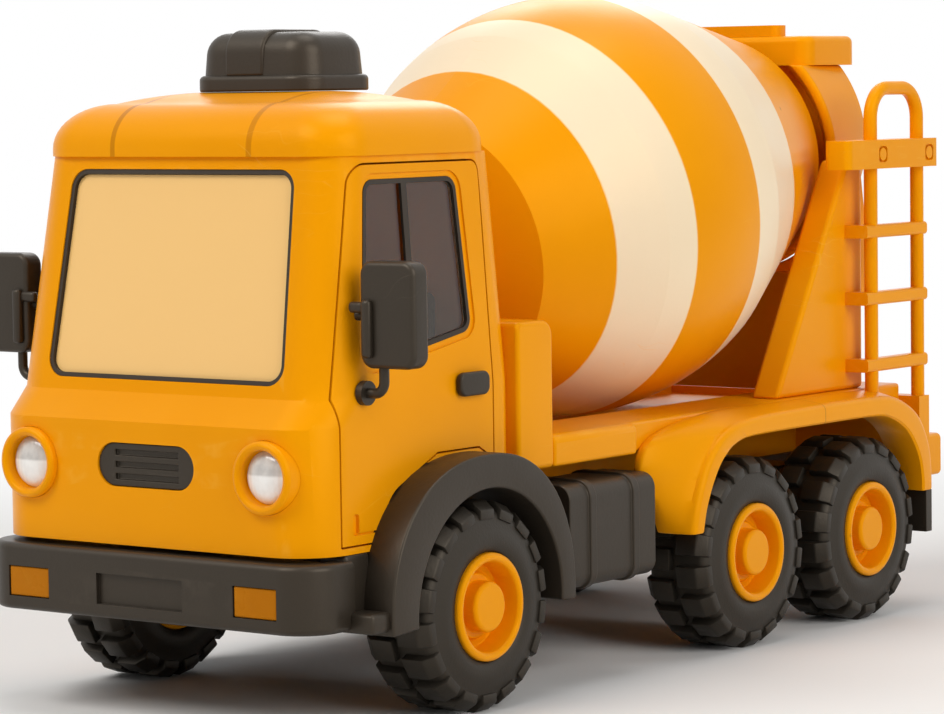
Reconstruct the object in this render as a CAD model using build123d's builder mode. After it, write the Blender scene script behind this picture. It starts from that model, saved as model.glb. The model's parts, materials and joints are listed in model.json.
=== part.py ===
from build123d import *

import os
from functools import cache
from math import atan2, cos, degrees, pi, radians, sin

os.makedirs("parts", exist_ok=True)

# Overall reach in millimetres: -Y is the front, +X the truck's left side, Z = 0 the ground.
# A reach is a distance along the truck from the front axle.
FRONT_REACH = 74.0
REAR_REACH = 308.0
FRONT_AXLE_Y = -(REAR_REACH - FRONT_REACH) / 2

# Running gear
MID_AXLE_REACH = 148.0
MID_AXLE_Y = FRONT_AXLE_Y + MID_AXLE_REACH
REAR_AXLE_REACH = 222.0
REAR_AXLE_Y = FRONT_AXLE_Y + REAR_AXLE_REACH
TYRE_RADIUS = 32.0
TYRE_FACE_X = 74.6
TYRE_WIDTH = 25.8
LUG_COUNT = 18
LUG_DEPTH = 2.4
LUG_SHARE = 0.66
SHOULDER_DROP = 3.2
SHOULDER_LENGTH = 3.6
GROOVE_WIDTH = 2.4
GROOVE_DEPTH = 0.8
BEAD_SIDES = 16
RIM_RADIUS = 16.5
RIM_PROUD = 0.7
RIM_LIP = 2.8
DISH_DEPTH = 8.0
HUB_RADIUS = 7.7
HUB_RECESS = 0.6
HUB_DISC_RADIUS = 10.6
HUB_DISC_RISE = 1.8
RIM_BREAK = 0.8
AXLE_RADIUS = 3.0
BEARING_PLAY = 0.06

# Chassis beam and its axle hangers
CHASSIS_HALF = 20.0
CHASSIS_BOTTOM_Z = 37.0
CHASSIS_TOP_Z = 53.0
CHASSIS_FRONT_REACH = 61.0
CHASSIS_FRONT_Y = FRONT_AXLE_Y - CHASSIS_FRONT_REACH
CHASSIS_REAR_REACH = 263.0
CHASSIS_REAR_Y = FRONT_AXLE_Y + CHASSIS_REAR_REACH
HANGER_LENGTH = 15.0
HANGER_WALL = 3.6

# Cab body: a lower box, a shoulder under the windscreen and a tapering upper part
CAB_HALF = 64.0
CAB_FRONT_REACH = 70.0
CAB_FRONT_Y = FRONT_AXLE_Y - CAB_FRONT_REACH
CAB_BACK_REACH = 27.0
CAB_BACK_Y = FRONT_AXLE_Y + CAB_BACK_REACH
SHOULDER_LOW_Z = 90.0
SHOULDER_RISE = 8.0
SHOULDER_TOP_Z = SHOULDER_LOW_Z + SHOULDER_RISE
SHOULDER_STEP = 7.5
ROOF_SEAM_Z = 168.0
ROOF_RISE = 19.0
ROOF_TOP_Z = ROOF_SEAM_Z + ROOF_RISE
TUMBLEHOME = 5.0
WINDSCREEN_RAKE = 12.0
BACK_RAKE = 6.0
CORNER_RADIUS = 16.0
ROOF_CORNER_RADIUS = 12.0
BACK_RADIUS = 6.0
CAB_WALL = 2.6
CAB_FLOOR_Z = 73.0
ROOF_LIP = 1.0
ROOF_ROUND = 12.0
SEAM = 0.6
FIT = 0.1

# Doors and their glazing, as side-view outlines
DOOR_FRONT_REACH = 56.5
DOOR_FRONT_Y = FRONT_AXLE_Y - DOOR_FRONT_REACH
DOOR_HEAD_REACH = 44.0
DOOR_HEAD_Y = FRONT_AXLE_Y - DOOR_HEAD_REACH
DOOR_REAR_REACH = 16.5
DOOR_REAR_Y = FRONT_AXLE_Y + DOOR_REAR_REACH
DOOR_SILL_Z = 55.5
DOOR_HEAD_GAP = 2.7
DOOR_TOP_Z = ROOF_SEAM_Z - DOOR_HEAD_GAP
DOOR_CORNER = 7.0
WINDOW_FRONT_FOOT_REACH = 45.0
WINDOW_FRONT_FOOT_Y = FRONT_AXLE_Y - WINDOW_FRONT_FOOT_REACH
WINDOW_FRONT_HEAD_REACH = 38.5
WINDOW_FRONT_HEAD_Y = FRONT_AXLE_Y - WINDOW_FRONT_HEAD_REACH
WINDOW_REAR_HEAD_REACH = 5.5
WINDOW_REAR_HEAD_Y = FRONT_AXLE_Y + WINDOW_REAR_HEAD_REACH
WINDOW_REAR_FOOT_REACH = 8.5
WINDOW_REAR_FOOT_Y = FRONT_AXLE_Y + WINDOW_REAR_FOOT_REACH
WINDOW_FOOT_RISE = 7.5
WINDOW_FRONT_FOOT_Z = SHOULDER_TOP_Z + WINDOW_FOOT_RISE
WINDOW_FOOT_SLOPE = 9.0
WINDOW_REAR_FOOT_Z = WINDOW_FRONT_FOOT_Z + WINDOW_FOOT_SLOPE
WINDOW_HEAD_FRAME = 4.3
WINDOW_HEAD_Z = DOOR_TOP_Z - WINDOW_HEAD_FRAME
WINDOW_ROUND = 4.5
TRIM_WIDTH = 1.4
DIVIDER_REACH = 19.5
DIVIDER_Y = FRONT_AXLE_Y - DIVIDER_REACH
DIVIDER_WIDTH = 2.6
HANDLE_REACH = 5.0
HANDLE_Y = FRONT_AXLE_Y + HANDLE_REACH
HANDLE_Z = 98.5
HANDLE_LENGTH = 14.5
HANDLE_HEIGHT = 7.2
HANDLE_PROUD = 2.6
FRAME_WIDTH = 1.8
FRAME_DEPTH = 0.7
CATCH_REACH = 50.4
CATCH_Y = FRONT_AXLE_Y - CATCH_REACH
CATCH_Z = 61.4
CATCH_WIDTH = 3.0
CATCH_HEIGHT = 6.2
CATCH_DEPTH = 1.2
SILL_LINE_END_REACH = 33.0
SILL_LINE_END_Y = FRONT_AXLE_Y - SILL_LINE_END_REACH
SILL_LINE_Z = 58.6
SILL_LINE = 0.7

# Windscreen opening, measured on its raked plane
SCREEN_SIDE = 17.0
SCREEN_FOOT_HALF = CAB_HALF - SCREEN_SIDE
SCREEN_TAPER = 3.0
SCREEN_HEAD_HALF = SCREEN_FOOT_HALF - SCREEN_TAPER
SCREEN_MARGIN = 6.5
SCREEN_HEIGHT = ROOF_SEAM_Z - SHOULDER_TOP_Z - SCREEN_MARGIN
SCREEN_ROUND = 6.0
SCREEN_RECESS = 1.6
SEAL_WIDTH = 1.3

# Wheel arches
ARCH_PLAY = 3.6
ARCH_RADIUS = TYRE_RADIUS + ARCH_PLAY
LINER = 2.0
ARCH_SIDE_PLAY = 3.8
ARCH_INNER_X = TYRE_FACE_X - TYRE_WIDTH - ARCH_SIDE_PLAY
HANGER_GAP = 4.0
HANGER_HALF = ARCH_INNER_X - HANGER_GAP
FENDER_PROUD = 2.4
FENDER_FACE_X = TYRE_FACE_X + FENDER_PROUD
REAR_FENDER_PROUD = 1.4
REAR_FENDER_X = TYRE_FACE_X + REAR_FENDER_PROUD

# Outer edge of the front fender, from its front foot over the crest to its rear foot
FENDER_FOOT_Z = 30.0
FENDER_TOE = 46.0
FENDER_KNEE = 52.0
FENDER_KNEE_Z = 41.0
FENDER_BROW = 32.0
FENDER_BROW_Z = 68.5
FENDER_CREST_FRONT = 11.0
FENDER_CREST_REAR = 9.0
FENDER_CREST_Z = 78.0
FENDER_BACK = 25.0
FENDER_BACK_Z = 69.0
FENDER_HEEL = 42.5
FENDER_HEEL_Z = 40.0
FENDER_ROUND = 12.0

# Step between bumper and fender
STEP_WIDTH = 6.0
STEP_REAR_REACH = 41.0
STEP_REAR_Y = FRONT_AXLE_Y - STEP_REAR_REACH
STEP_BOTTOM_Z = 30.0
STEP_TOP_Z = 37.0
STEP_RECESS = 2.0

# Front end
LAMP_INSET = 17.6
LAMP_X = CAB_HALF - LAMP_INSET
LAMP_Z = 76.0
BEZEL_RADIUS = 10.8
LENS_RADIUS = 8.0
GRILLE_WIDTH = 38.0
GRILLE_HEIGHT = 13.0
GRILLE_Z = 77.0
LOUVRE_COUNT = 3
BUMPER_PROUD = 2.0
BUMPER_HALF = CAB_HALF + BUMPER_PROUD
BUMPER_BOTTOM_Z = 31.0
BUMPER_TOP_Z = 51.5
BUMPER_DEPTH = 13.0
BUMPER_REAR_REACH = 54.0
BUMPER_REAR_Y = FRONT_AXLE_Y - BUMPER_REAR_REACH
BUMPER_ROUND = 13.0
BUMPER_WING = 6.0
INDICATOR_X = 44.8
INDICATOR_WIDTH = 16.5
INDICATOR_HEIGHT = 9.3
INDICATOR_Z = 39.9
PLATE_HALF = 17.0
POCKET_DEPTH = 1.4

# Mirrors
MIRROR_GAP = 2.0
MIRROR_INNER_X = CAB_HALF + MIRROR_GAP
MIRROR_WIDTH = 20.0
MIRROR_OUTER_X = MIRROR_INNER_X + MIRROR_WIDTH
MIRROR_FRONT_REACH = 50.0
MIRROR_FRONT_Y = FRONT_AXLE_Y - MIRROR_FRONT_REACH
MIRROR_DEPTH = 7.5
MIRROR_BOTTOM_Z = 107.0
MIRROR_TOP_Z = 138.0
ARM_RADIUS = 1.5
ARM_Z = 99.5
ARM_BEND = 3.5
ARM_INSET = 6.0
FOOT_RADIUS = 3.6
FOOT_PROUD = 2.2
STAY_RISE = 15.0

# Beacon on the roof
BEACON_REACH = 3.0
BEACON_Y = FRONT_AXLE_Y - BEACON_REACH
BEACON_BASE = (48.0, 35.0)
BEACON_DOME = (42.0, 30.0)
BEACON_TRAY = 5.0
BEACON_SEAM_Z = ROOF_TOP_Z + BEACON_TRAY
DOME_HEIGHT = 14.0
STRAP_WIDTH = 15.0

# Deck, its rails and the rear fenders
DECK_FRONT_REACH = 45.6
DECK_FRONT_Y = FRONT_AXLE_Y + DECK_FRONT_REACH
DECK_REAR_Y = CHASSIS_REAR_Y
DECK_BOTTOM_Z = 69.5
DECK_HEIGHT = 10.0
DECK_TOP_Z = DECK_BOTTOM_Z + DECK_HEIGHT
PAN_THICKNESS = 2.5
PAN_HALF = 36.0
FENDER_FRONT_REACH = 91.0
FENDER_FRONT_Y = FRONT_AXLE_Y + FENDER_FRONT_REACH
FENDER_DROP = 1.0
FENDER_TOP_Z = DECK_TOP_Z - FENDER_DROP
FENDER_SKIN = 7.5
LEG_BOTTOM_Z = 42.0
FRONT_LEG = 20.0
REAR_LEG = 6.5
BACK_BOX_TOP_Z = 115.5

# Drum: stations run along its axis from a point above the chassis
DRUM_TILT = 10.0
DRUM_REACH = 120.0
DRUM_HEIGHT = 142.0
DRUM_ORIGIN = Vector(0, FRONT_AXLE_Y + DRUM_REACH, DRUM_HEIGHT)
SHAFT_RADIUS = 7.0
SHAFT_FRONT = -73.0
HEAD_RADIUS = 20.0
HEAD_START = -57.0
FRONT_CONE_START = -50.0
FRONT_CONE_RADIUS = 44.0
BELLY_START = -8.0
BELLY_START_RADIUS = 64.6
BELLY_MIDDLE = 24.0
BELLY_RADIUS = 71.0
BELLY_END = 54.0
BELLY_END_RADIUS = 67.8
REAR_CONE_END = 124.5
REAR_CONE_RADIUS = 41.0
NECK_RADIUS = 20.0
NECK_END = 160.0
MOUTH_RADIUS = 16.5
MOUTH_DEPTH = 34.0

# Collar ring round the neck, hopper on top of it
COLLAR_GAP = 3.0
COLLAR_START = REAR_CONE_END + COLLAR_GAP
NECK_PROUD = 2.0
COLLAR_END = NECK_END - NECK_PROUD
COLLAR_OVER = 5.0
COLLAR_RADIUS = REAR_CONE_RADIUS + COLLAR_OVER
COLLAR_BACK_RADIUS = REAR_CONE_RADIUS
COLLAR_RIM = 3.0
COLLAR_FLARE = COLLAR_RADIUS - COLLAR_RIM
COLLAR_THROAT = 34.0
COLLAR_FLARE_DEPTH = 12.0
NECK_PLAY = 0.3
HOPPER_HALF = 36.0
HOPPER_FRONT_REACH = 244.0
HOPPER_FRONT_Y = FRONT_AXLE_Y + HOPPER_FRONT_REACH
HOPPER_REAR_REACH = 279.0
HOPPER_REAR_Y = FRONT_AXLE_Y + HOPPER_REAR_REACH
HOPPER_BOTTOM_Z = 193.5
HOPPER_HEIGHT = 10.5
HOPPER_TOP_Z = HOPPER_BOTTOM_Z + HOPPER_HEIGHT
TROUGH_DEPTH = 7.5
HOPPER_WALL = 4.0

# Rear pedestals
PEDESTAL_GAP = 3.0
PEDESTAL_INNER_X = COLLAR_RADIUS + PEDESTAL_GAP
PEDESTAL_WIDTH = 11.0
PEDESTAL_OUTER_X = PEDESTAL_INNER_X + PEDESTAL_WIDTH
PEDESTAL_FOOT_REACH = 184.0
PEDESTAL_FOOT_Y = FRONT_AXLE_Y + PEDESTAL_FOOT_REACH
PEDESTAL_HEAD_REACH = 231.0
PEDESTAL_HEAD_Y = FRONT_AXLE_Y + PEDESTAL_HEAD_REACH
PEDESTAL_REAR_REACH = 241.0
PEDESTAL_REAR_Y = FRONT_AXLE_Y + PEDESTAL_REAR_REACH
PEDESTAL_TOP_Z = 160.0
SADDLE_SETBACK = 3.0
SADDLE_STATION = COLLAR_START + SADDLE_SETBACK
SADDLE_THICKNESS = 9.0
SADDLE_DEPTH = 12.0

# Side rails of the deck, outside the posts, and the tanks below them
RAIL_MARGIN = 2.0
RAIL_HALF = PEDESTAL_OUTER_X + RAIL_MARGIN
SIDE_STEP = 4.0
SIDE_PANEL_X = RAIL_HALF + SIDE_STEP
TANK_FRONT_REACH = 45.0
TANK_FRONT_Y = FRONT_AXLE_Y + TANK_FRONT_REACH
TANK_REAR_REACH = 86.0
TANK_REAR_Y = FRONT_AXLE_Y + TANK_REAR_REACH
TANK_INNER_X = 47.0
TANK_PROUD = 6.0
TANK_OUTER_X = SIDE_PANEL_X + TANK_PROUD
TANK_BOTTOM_Z = 31.0
TANK_TOP_Z = 64.0

# Ladder on the left side
LADDER_GAP = 6.5
LADDER_X = PEDESTAL_OUTER_X + LADDER_GAP
LADDER_FRONT_REACH = 236.0
LADDER_FRONT_Y = FRONT_AXLE_Y + LADDER_FRONT_REACH
LADDER_REAR_REACH = 268.0
LADDER_REAR_Y = FRONT_AXLE_Y + LADDER_REAR_REACH
LADDER_TOP_Z = 185.0
LADDER_TUBE = 2.4
RUNG_COUNT = 3
RUNG_PITCH = 23.5
LOW_RUNG_Z = 88.0
CLAMP_BOTTOM_Z = 157.0
CLAMP_HEIGHT = 10.0
CLAMP_FRONT_REACH = 213.0
CLAMP_FRONT_Y = FRONT_AXLE_Y + CLAMP_FRONT_REACH
CLAMP_REAR_REACH = 275.0
CLAMP_REAR_Y = FRONT_AXLE_Y + CLAMP_REAR_REACH
CLAMP_WIDTH = 10.5
SOCKET_SIZE = 5.6
SOCKET_DEPTH = 1.4
PLUG_RADIUS = 2.2
RUNG_WIDTH = 5.6
RUNG_HEIGHT = 4.6
RUNG_ROUND = 1.4
RUNG_OVERHANG = 12.0

# Tail
TAIL_INSET = 6.0
TAIL_HALF = REAR_FENDER_X - TAIL_INSET
TAIL_THICKNESS = 7.0
TAIL_BOTTOM_Z = 44.0
TAIL_TOP_Z = 75.0
FLAP_BOTTOM_Z = 27.0
TAB_WIDTH = 9.0
TAB_HEIGHT = 12.0
LAMP_BLOCK_INSET = 7.0
LAMP_BLOCK_X = TAIL_HALF - LAMP_BLOCK_INSET
LAMP_BLOCK_Z = 53.0

# Discharge chute
CHUTE_PIVOT_REACH = 277.0
CHUTE_PIVOT_Y = FRONT_AXLE_Y + CHUTE_PIVOT_REACH
CHUTE_PIVOT_Z = 100.0
PIVOT_RADIUS = 3.0
PIN_HEIGHT = 6.0
CHUTE_SLOPE = 50.0
CHUTE_LENGTH = 40.0
CHUTE_LIP_Z = 93.0
PIVOT_GAP = 0.4
CHUTE_RADIUS = 13.0
CHUTE_WALL = 2.0

def save(piece, name):
    """Label a finished piece and write it under its node name."""
    piece.label = name
    export_step(piece, f"parts/{name}.step")


def save_pair(left, name):
    """Write the left piece and its mirror image on the right."""
    with BuildPart() as right:
        mirror(left, about=Plane.YZ)
    save(left, f"{name}_left")
    save(right.part, f"{name}_right")


def drum_point(station, height=0.0):
    """Point at a station along the drum axis, lifted square to the axis."""
    tilt = radians(DRUM_TILT)
    along = Vector(0, cos(tilt), sin(tilt)) * station
    lift = Vector(0, -sin(tilt), cos(tilt)) * height
    return DRUM_ORIGIN + along + lift


DRUM_DIRECTION = drum_point(1) - drum_point(0)
DRUM_AXIS = Axis(DRUM_ORIGIN, DRUM_DIRECTION)
DRUM_SECTION = Plane(origin=DRUM_ORIGIN, x_dir=DRUM_DIRECTION, z_dir=(1, 0, 0))


def drum_cross_plane(station):
    """Plane square to the drum axis, with its own Y pointing up."""
    return Plane(origin=drum_point(station), x_dir=(-1, 0, 0), z_dir=DRUM_DIRECTION)


# Wheels

def lug_ring(x, scale, phase):
    """Toothed outline of one row of tread lugs, square to the axle."""
    pitch = 2 * pi / LUG_COUNT
    valley_radius = TYRE_RADIUS - LUG_DEPTH
    half_tip = pitch * LUG_SHARE / 2
    half_root = half_tip + pitch * 0.04
    corners = []
    for i in range(LUG_COUNT):
        middle = i * pitch + phase
        corners.append((valley_radius, middle - half_root))
        corners.append((TYRE_RADIUS, middle - half_tip))
        corners.append((TYRE_RADIUS, middle + half_tip))
        corners.append((valley_radius, middle + half_root))
    with BuildSketch(Plane.YZ.offset(x)) as ring:
        with BuildLine():
            points = [(scale * r * cos(a), scale * r * sin(a)) for r, a in corners]
            Polyline(*points, close=True)
        make_face()
    return ring.sketch


def lug_row(phase):
    """Left row of tread lugs, from the middle groove to the sidewall, with flat sloping shoulders."""
    shoulder_x = TYRE_WIDTH / 2 - SHOULDER_LENGTH
    tip_flat = TYRE_RADIUS * cos(pi * LUG_SHARE / LUG_COUNT)
    slope = degrees(atan2(SHOULDER_DROP, SHOULDER_LENGTH))
    turn = degrees(phase + pi / LUG_COUNT)
    with BuildPart() as shoulder:
        extrude(lug_ring(shoulder_x, 1, phase), amount=SHOULDER_LENGTH)
        with BuildSketch(Plane.YZ.offset(shoulder_x)):
            RegularPolygon(tip_flat, LUG_COUNT, major_radius=False, rotation=turn)
        extrude(amount=SHOULDER_LENGTH, taper=slope, mode=Mode.INTERSECT)
    with BuildPart() as row:
        extrude(lug_ring(GROOVE_WIDTH / 2, 1, phase), amount=shoulder_x - GROOVE_WIDTH / 2)
        add(shoulder.part)
    return row.part


def make_tyre():
    """Tyre round the X axis, centred on its own middle, with staggered rows of lugs."""
    with BuildPart() as tyre:
        add(lug_row(0))
        mirror(lug_row(pi / LUG_COUNT), about=Plane.YZ)
        with BuildSketch(Plane.YZ.offset(-GROOVE_WIDTH / 2)):
            RegularPolygon(TYRE_RADIUS - LUG_DEPTH - GROOVE_DEPTH, BEAD_SIDES)
        extrude(amount=GROOVE_WIDTH)
        with BuildSketch(Plane.YZ.offset(-TYRE_WIDTH / 2)):
            RegularPolygon(RIM_RADIUS, BEAD_SIDES, major_radius=False)
        extrude(amount=TYRE_WIDTH, mode=Mode.SUBTRACT)
    return tyre.part


def make_wheelset(y):
    """Axle and its two dished wheel centres, moulded in one."""
    face = TYRE_FACE_X + RIM_PROUD
    inner = TYRE_FACE_X - TYRE_WIDTH + 1.0
    floor = face - DISH_DEPTH
    hub_face = face - HUB_RECESS
    axis = Axis((0, y, TYRE_RADIUS), (1, 0, 0))
    with BuildPart() as wheelset:
        with BuildSketch(Plane(origin=(0, y, TYRE_RADIUS), x_dir=(1, 0, 0), z_dir=(0, -1, 0))):
            with BuildLine():
                Polyline(
                    (0, 0),
                    (0, AXLE_RADIUS),
                    (inner, AXLE_RADIUS),
                    (inner, RIM_RADIUS - FIT),
                    (face - RIM_BREAK, RIM_RADIUS - FIT),
                    (face, RIM_RADIUS - FIT - RIM_BREAK),
                    (face, RIM_RADIUS - RIM_LIP + RIM_BREAK),
                    (face - RIM_BREAK, RIM_RADIUS - RIM_LIP),
                    (floor, RIM_RADIUS - RIM_LIP - RIM_BREAK),
                    (floor, HUB_DISC_RADIUS),
                    (floor + HUB_DISC_RISE, HUB_DISC_RADIUS - RIM_BREAK),
                    (floor + HUB_DISC_RISE, HUB_RADIUS),
                    (hub_face - RIM_BREAK, HUB_RADIUS),
                    (hub_face, HUB_RADIUS - RIM_BREAK),
                    (hub_face, 0),
                    close=True,
                )
            make_face()
        revolve(axis=axis)
        mirror(about=Plane.YZ)
    return wheelset.part


def make_wheels():
    """Three wheelsets, each with a left and a right tyre."""
    tyre = make_tyre()
    for name, y in (("front", FRONT_AXLE_Y), ("mid", MID_AXLE_Y), ("rear", REAR_AXLE_Y)):
        save(make_wheelset(y), f"wheelset_{name}")
        with BuildPart() as placed:
            with Locations((TYRE_FACE_X - TYRE_WIDTH / 2, y, TYRE_RADIUS)):
                add(tyre)
        save_pair(placed.part, f"tyre_{name}")


def make_chassis():
    """Box beam with a hanger block and bearing bore at each axle."""
    length = CHASSIS_REAR_Y - CHASSIS_FRONT_Y
    middle_y = (CHASSIS_REAR_Y + CHASSIS_FRONT_Y) / 2
    hanger_bottom = TYRE_RADIUS - AXLE_RADIUS - HANGER_WALL
    with BuildPart() as chassis:
        with BuildSketch(Plane.XY.offset(CHASSIS_BOTTOM_Z)):
            with Locations((0, middle_y)):
                Rectangle(2 * CHASSIS_HALF, length)
        extrude(amount=CHASSIS_TOP_Z - CHASSIS_BOTTOM_Z)
        with BuildSketch(Plane.XY.offset(hanger_bottom)):
            with Locations((0, FRONT_AXLE_Y), (0, MID_AXLE_Y), (0, REAR_AXLE_Y)):
                Rectangle(2 * HANGER_HALF, HANGER_LENGTH)
        extrude(amount=CHASSIS_TOP_Z - hanger_bottom)
        with BuildSketch(Plane.YZ.offset(-HANGER_HALF)):
            with Locations(*[(y, TYRE_RADIUS) for y in (FRONT_AXLE_Y, MID_AXLE_Y, REAR_AXLE_Y)]):
                Circle(AXLE_RADIUS + BEARING_PLAY)
        extrude(amount=2 * HANGER_HALF, mode=Mode.SUBTRACT)
    save(chassis.part, "chassis")


# Cab

def cab_limits(z):
    """Half width, front and back of the cab body at a height."""
    rise = max(0.0, (z - SHOULDER_TOP_Z) / (ROOF_SEAM_Z - SHOULDER_TOP_Z))
    step = SHOULDER_STEP if z >= SHOULDER_TOP_Z else 0.0
    half = CAB_HALF - TUMBLEHOME * rise
    front = CAB_FRONT_Y + step + WINDSCREEN_RAKE * rise
    back = CAB_BACK_Y - BACK_RAKE * rise
    return half, front, back


def corner_radius(z):
    """Radius of the cab's front corners at a height."""
    rise = max(0.0, (z - SHOULDER_TOP_Z) / (ROOF_SEAM_Z - SHOULDER_TOP_Z))
    return CORNER_RADIUS + (ROOF_CORNER_RADIUS - CORNER_RADIUS) * rise


def cab_plan(z, inset=0.0):
    """Plan section of the cab body at a height, drawn in by an inset."""
    half, front, back = cab_limits(z)
    with BuildSketch(Plane.XY.offset(z)) as plan:
        with Locations((0, (front + back) / 2)):
            Rectangle(2 * (half - inset), back - front - 2 * inset)
        fillet(plan.vertices().group_by(Axis.Y)[0], corner_radius(z) - inset)
        fillet(plan.vertices().group_by(Axis.Y)[-1], BACK_RADIUS - inset)
    return plan.sketch


@cache
def cab_body(bottom_z, inset=0.0):
    """Solid of the cab from a height up to the roof seam, drawn in by an inset."""
    with BuildPart() as body:
        extrude(cab_plan(bottom_z, inset), amount=SHOULDER_LOW_Z - bottom_z)
        loft([cab_plan(SHOULDER_LOW_Z, inset), cab_plan(SHOULDER_TOP_Z, inset)], ruled=True)
        loft([cab_plan(SHOULDER_TOP_Z, inset), cab_plan(ROOF_SEAM_Z, inset)], ruled=True)
    return body.part


def fender_outline(grow=0.0):
    """Side view of the front fender's outer edge."""
    with BuildSketch(Plane.YZ) as outline:
        with BuildLine():
            Polyline(
                (FRONT_AXLE_Y - FENDER_TOE, FENDER_FOOT_Z),
                (FRONT_AXLE_Y - FENDER_KNEE, FENDER_KNEE_Z),
                (FRONT_AXLE_Y - FENDER_BROW, FENDER_BROW_Z),
                (FRONT_AXLE_Y - FENDER_CREST_FRONT, FENDER_CREST_Z),
                (FRONT_AXLE_Y + FENDER_CREST_REAR, FENDER_CREST_Z),
                (FRONT_AXLE_Y + FENDER_BACK, FENDER_BACK_Z),
                (FRONT_AXLE_Y + FENDER_HEEL, FENDER_HEEL_Z),
                (FRONT_AXLE_Y + FENDER_HEEL, FENDER_FOOT_Z),
                close=True,
            )
        make_face()
        fillet(outline.vertices().group_by(Axis.Y)[3:5], FENDER_ROUND)
        if grow:
            offset(amount=grow, kind=Kind.INTERSECTION)
    return outline


def door_outline(grow=0.0):
    """Side view of a door, raked along its front seam and cut away round the front fender."""
    with BuildSketch(Plane.YZ) as outline:
        with BuildLine():
            Polyline(
                (DOOR_FRONT_Y, DOOR_SILL_Z),
                (DOOR_FRONT_Y, SHOULDER_TOP_Z),
                (DOOR_HEAD_Y, DOOR_TOP_Z),
                (DOOR_REAR_Y, DOOR_TOP_Z),
                (DOOR_REAR_Y, DOOR_SILL_Z),
                close=True,
            )
        make_face()
        fillet(outline.vertices().group_by(Axis.Y)[-1].sort_by(Axis.X)[0], DOOR_CORNER)
        fillet(outline.vertices().group_by(Axis.Y)[-1].sort_by(Axis.X)[-1], DOOR_CORNER / 2)
        if grow:
            offset(amount=grow)
        add(fender_outline(2 * SEAM - grow), mode=Mode.SUBTRACT)
    return outline


def window_outline(inset=0.0):
    """Side view of a door's window opening."""
    with BuildSketch(Plane.YZ) as outline:
        with BuildLine():
            Polyline(
                (WINDOW_FRONT_FOOT_Y, WINDOW_FRONT_FOOT_Z),
                (WINDOW_FRONT_HEAD_Y, WINDOW_HEAD_Z),
                (WINDOW_REAR_HEAD_Y, WINDOW_HEAD_Z),
                (WINDOW_REAR_FOOT_Y, WINDOW_REAR_FOOT_Z),
                close=True,
            )
        make_face()
        fillet(outline.vertices(), WINDOW_ROUND)
        if inset:
            offset(amount=-inset)
    return outline


def side_layer(outline, outer_inset, inner_inset):
    """Part of the left cab wall between two insets, inside a side-view outline."""
    with BuildPart() as layer:
        add(cab_body(CHASSIS_TOP_Z, outer_inset))
        add(cab_body(CHASSIS_TOP_Z - CAB_WALL, inner_inset), mode=Mode.SUBTRACT)
        column = outline.sketch.moved(Location((CAB_HALF - CORNER_RADIUS, 0, 0)))
        extrude(column, amount=CAB_HALF, mode=Mode.INTERSECT)
    return layer.part


def screen_plane():
    """Plane of the raked windscreen face, centred on the glazing."""
    _, foot_y, _ = cab_limits(SHOULDER_TOP_Z)
    _, head_y, _ = cab_limits(ROOF_SEAM_Z)
    normal = Vector(0, -(ROOF_SEAM_Z - SHOULDER_TOP_Z), head_y - foot_y)
    middle = Vector(0, (foot_y + head_y) / 2, (SHOULDER_TOP_Z + ROOF_SEAM_Z) / 2)
    return Plane(origin=middle, x_dir=(1, 0, 0), z_dir=normal)


def screen_outline(inset=0.0, depth=0.0):
    """Outline of the windscreen opening, sunk below the cab's face by a depth."""
    with BuildSketch(screen_plane().offset(-depth)) as outline:
        with BuildLine():
            Polyline(
                (-SCREEN_FOOT_HALF, -SCREEN_HEIGHT / 2),
                (-SCREEN_HEAD_HALF, SCREEN_HEIGHT / 2),
                (SCREEN_HEAD_HALF, SCREEN_HEIGHT / 2),
                (SCREEN_FOOT_HALF, -SCREEN_HEIGHT / 2),
                close=True,
            )
        make_face()
        fillet(outline.vertices(), SCREEN_ROUND)
        if inset:
            offset(amount=-inset)
    return outline.sketch


def make_cab_shell():
    """Hollow cab body with its arches, door openings and front pockets."""
    front_cut_y = CAB_FRONT_Y + 6.0
    with BuildPart() as shell:
        add(cab_body(CHASSIS_TOP_Z))
        add(cab_body(CAB_FLOOR_Z, CAB_WALL), mode=Mode.SUBTRACT)
        with BuildSketch(Plane.YZ.offset(ARCH_INNER_X)):
            with Locations((FRONT_AXLE_Y, TYRE_RADIUS)):
                Circle(ARCH_RADIUS + LINER)
        extrude(amount=CAB_HALF, mode=Mode.SUBTRACT)
        with BuildSketch(Plane.YZ.offset(-ARCH_INNER_X)):
            with Locations((FRONT_AXLE_Y, TYRE_RADIUS)):
                Circle(ARCH_RADIUS + LINER)
        extrude(amount=-CAB_HALF, mode=Mode.SUBTRACT)
        door_hole = side_layer(door_outline(SEAM), 0.0, CAB_WALL + SEAM)
        add(door_hole, mode=Mode.SUBTRACT)
        mirror(door_hole, about=Plane.YZ, mode=Mode.SUBTRACT)
        extrude(screen_outline(), amount=-3 * CAB_WALL, mode=Mode.SUBTRACT)
        with BuildSketch(Plane.XZ.offset(-front_cut_y)):
            with Locations((-LAMP_X, LAMP_Z), (LAMP_X, LAMP_Z)):
                Circle(BEZEL_RADIUS + FIT)
            with Locations((0, GRILLE_Z)):
                SlotOverall(GRILLE_WIDTH + 2 * FIT, GRILLE_HEIGHT + 2 * FIT)
        extrude(amount=2 * front_cut_y - 2 * CAB_FRONT_Y, mode=Mode.SUBTRACT)
    save(shell.part, "cab_shell")


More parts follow.
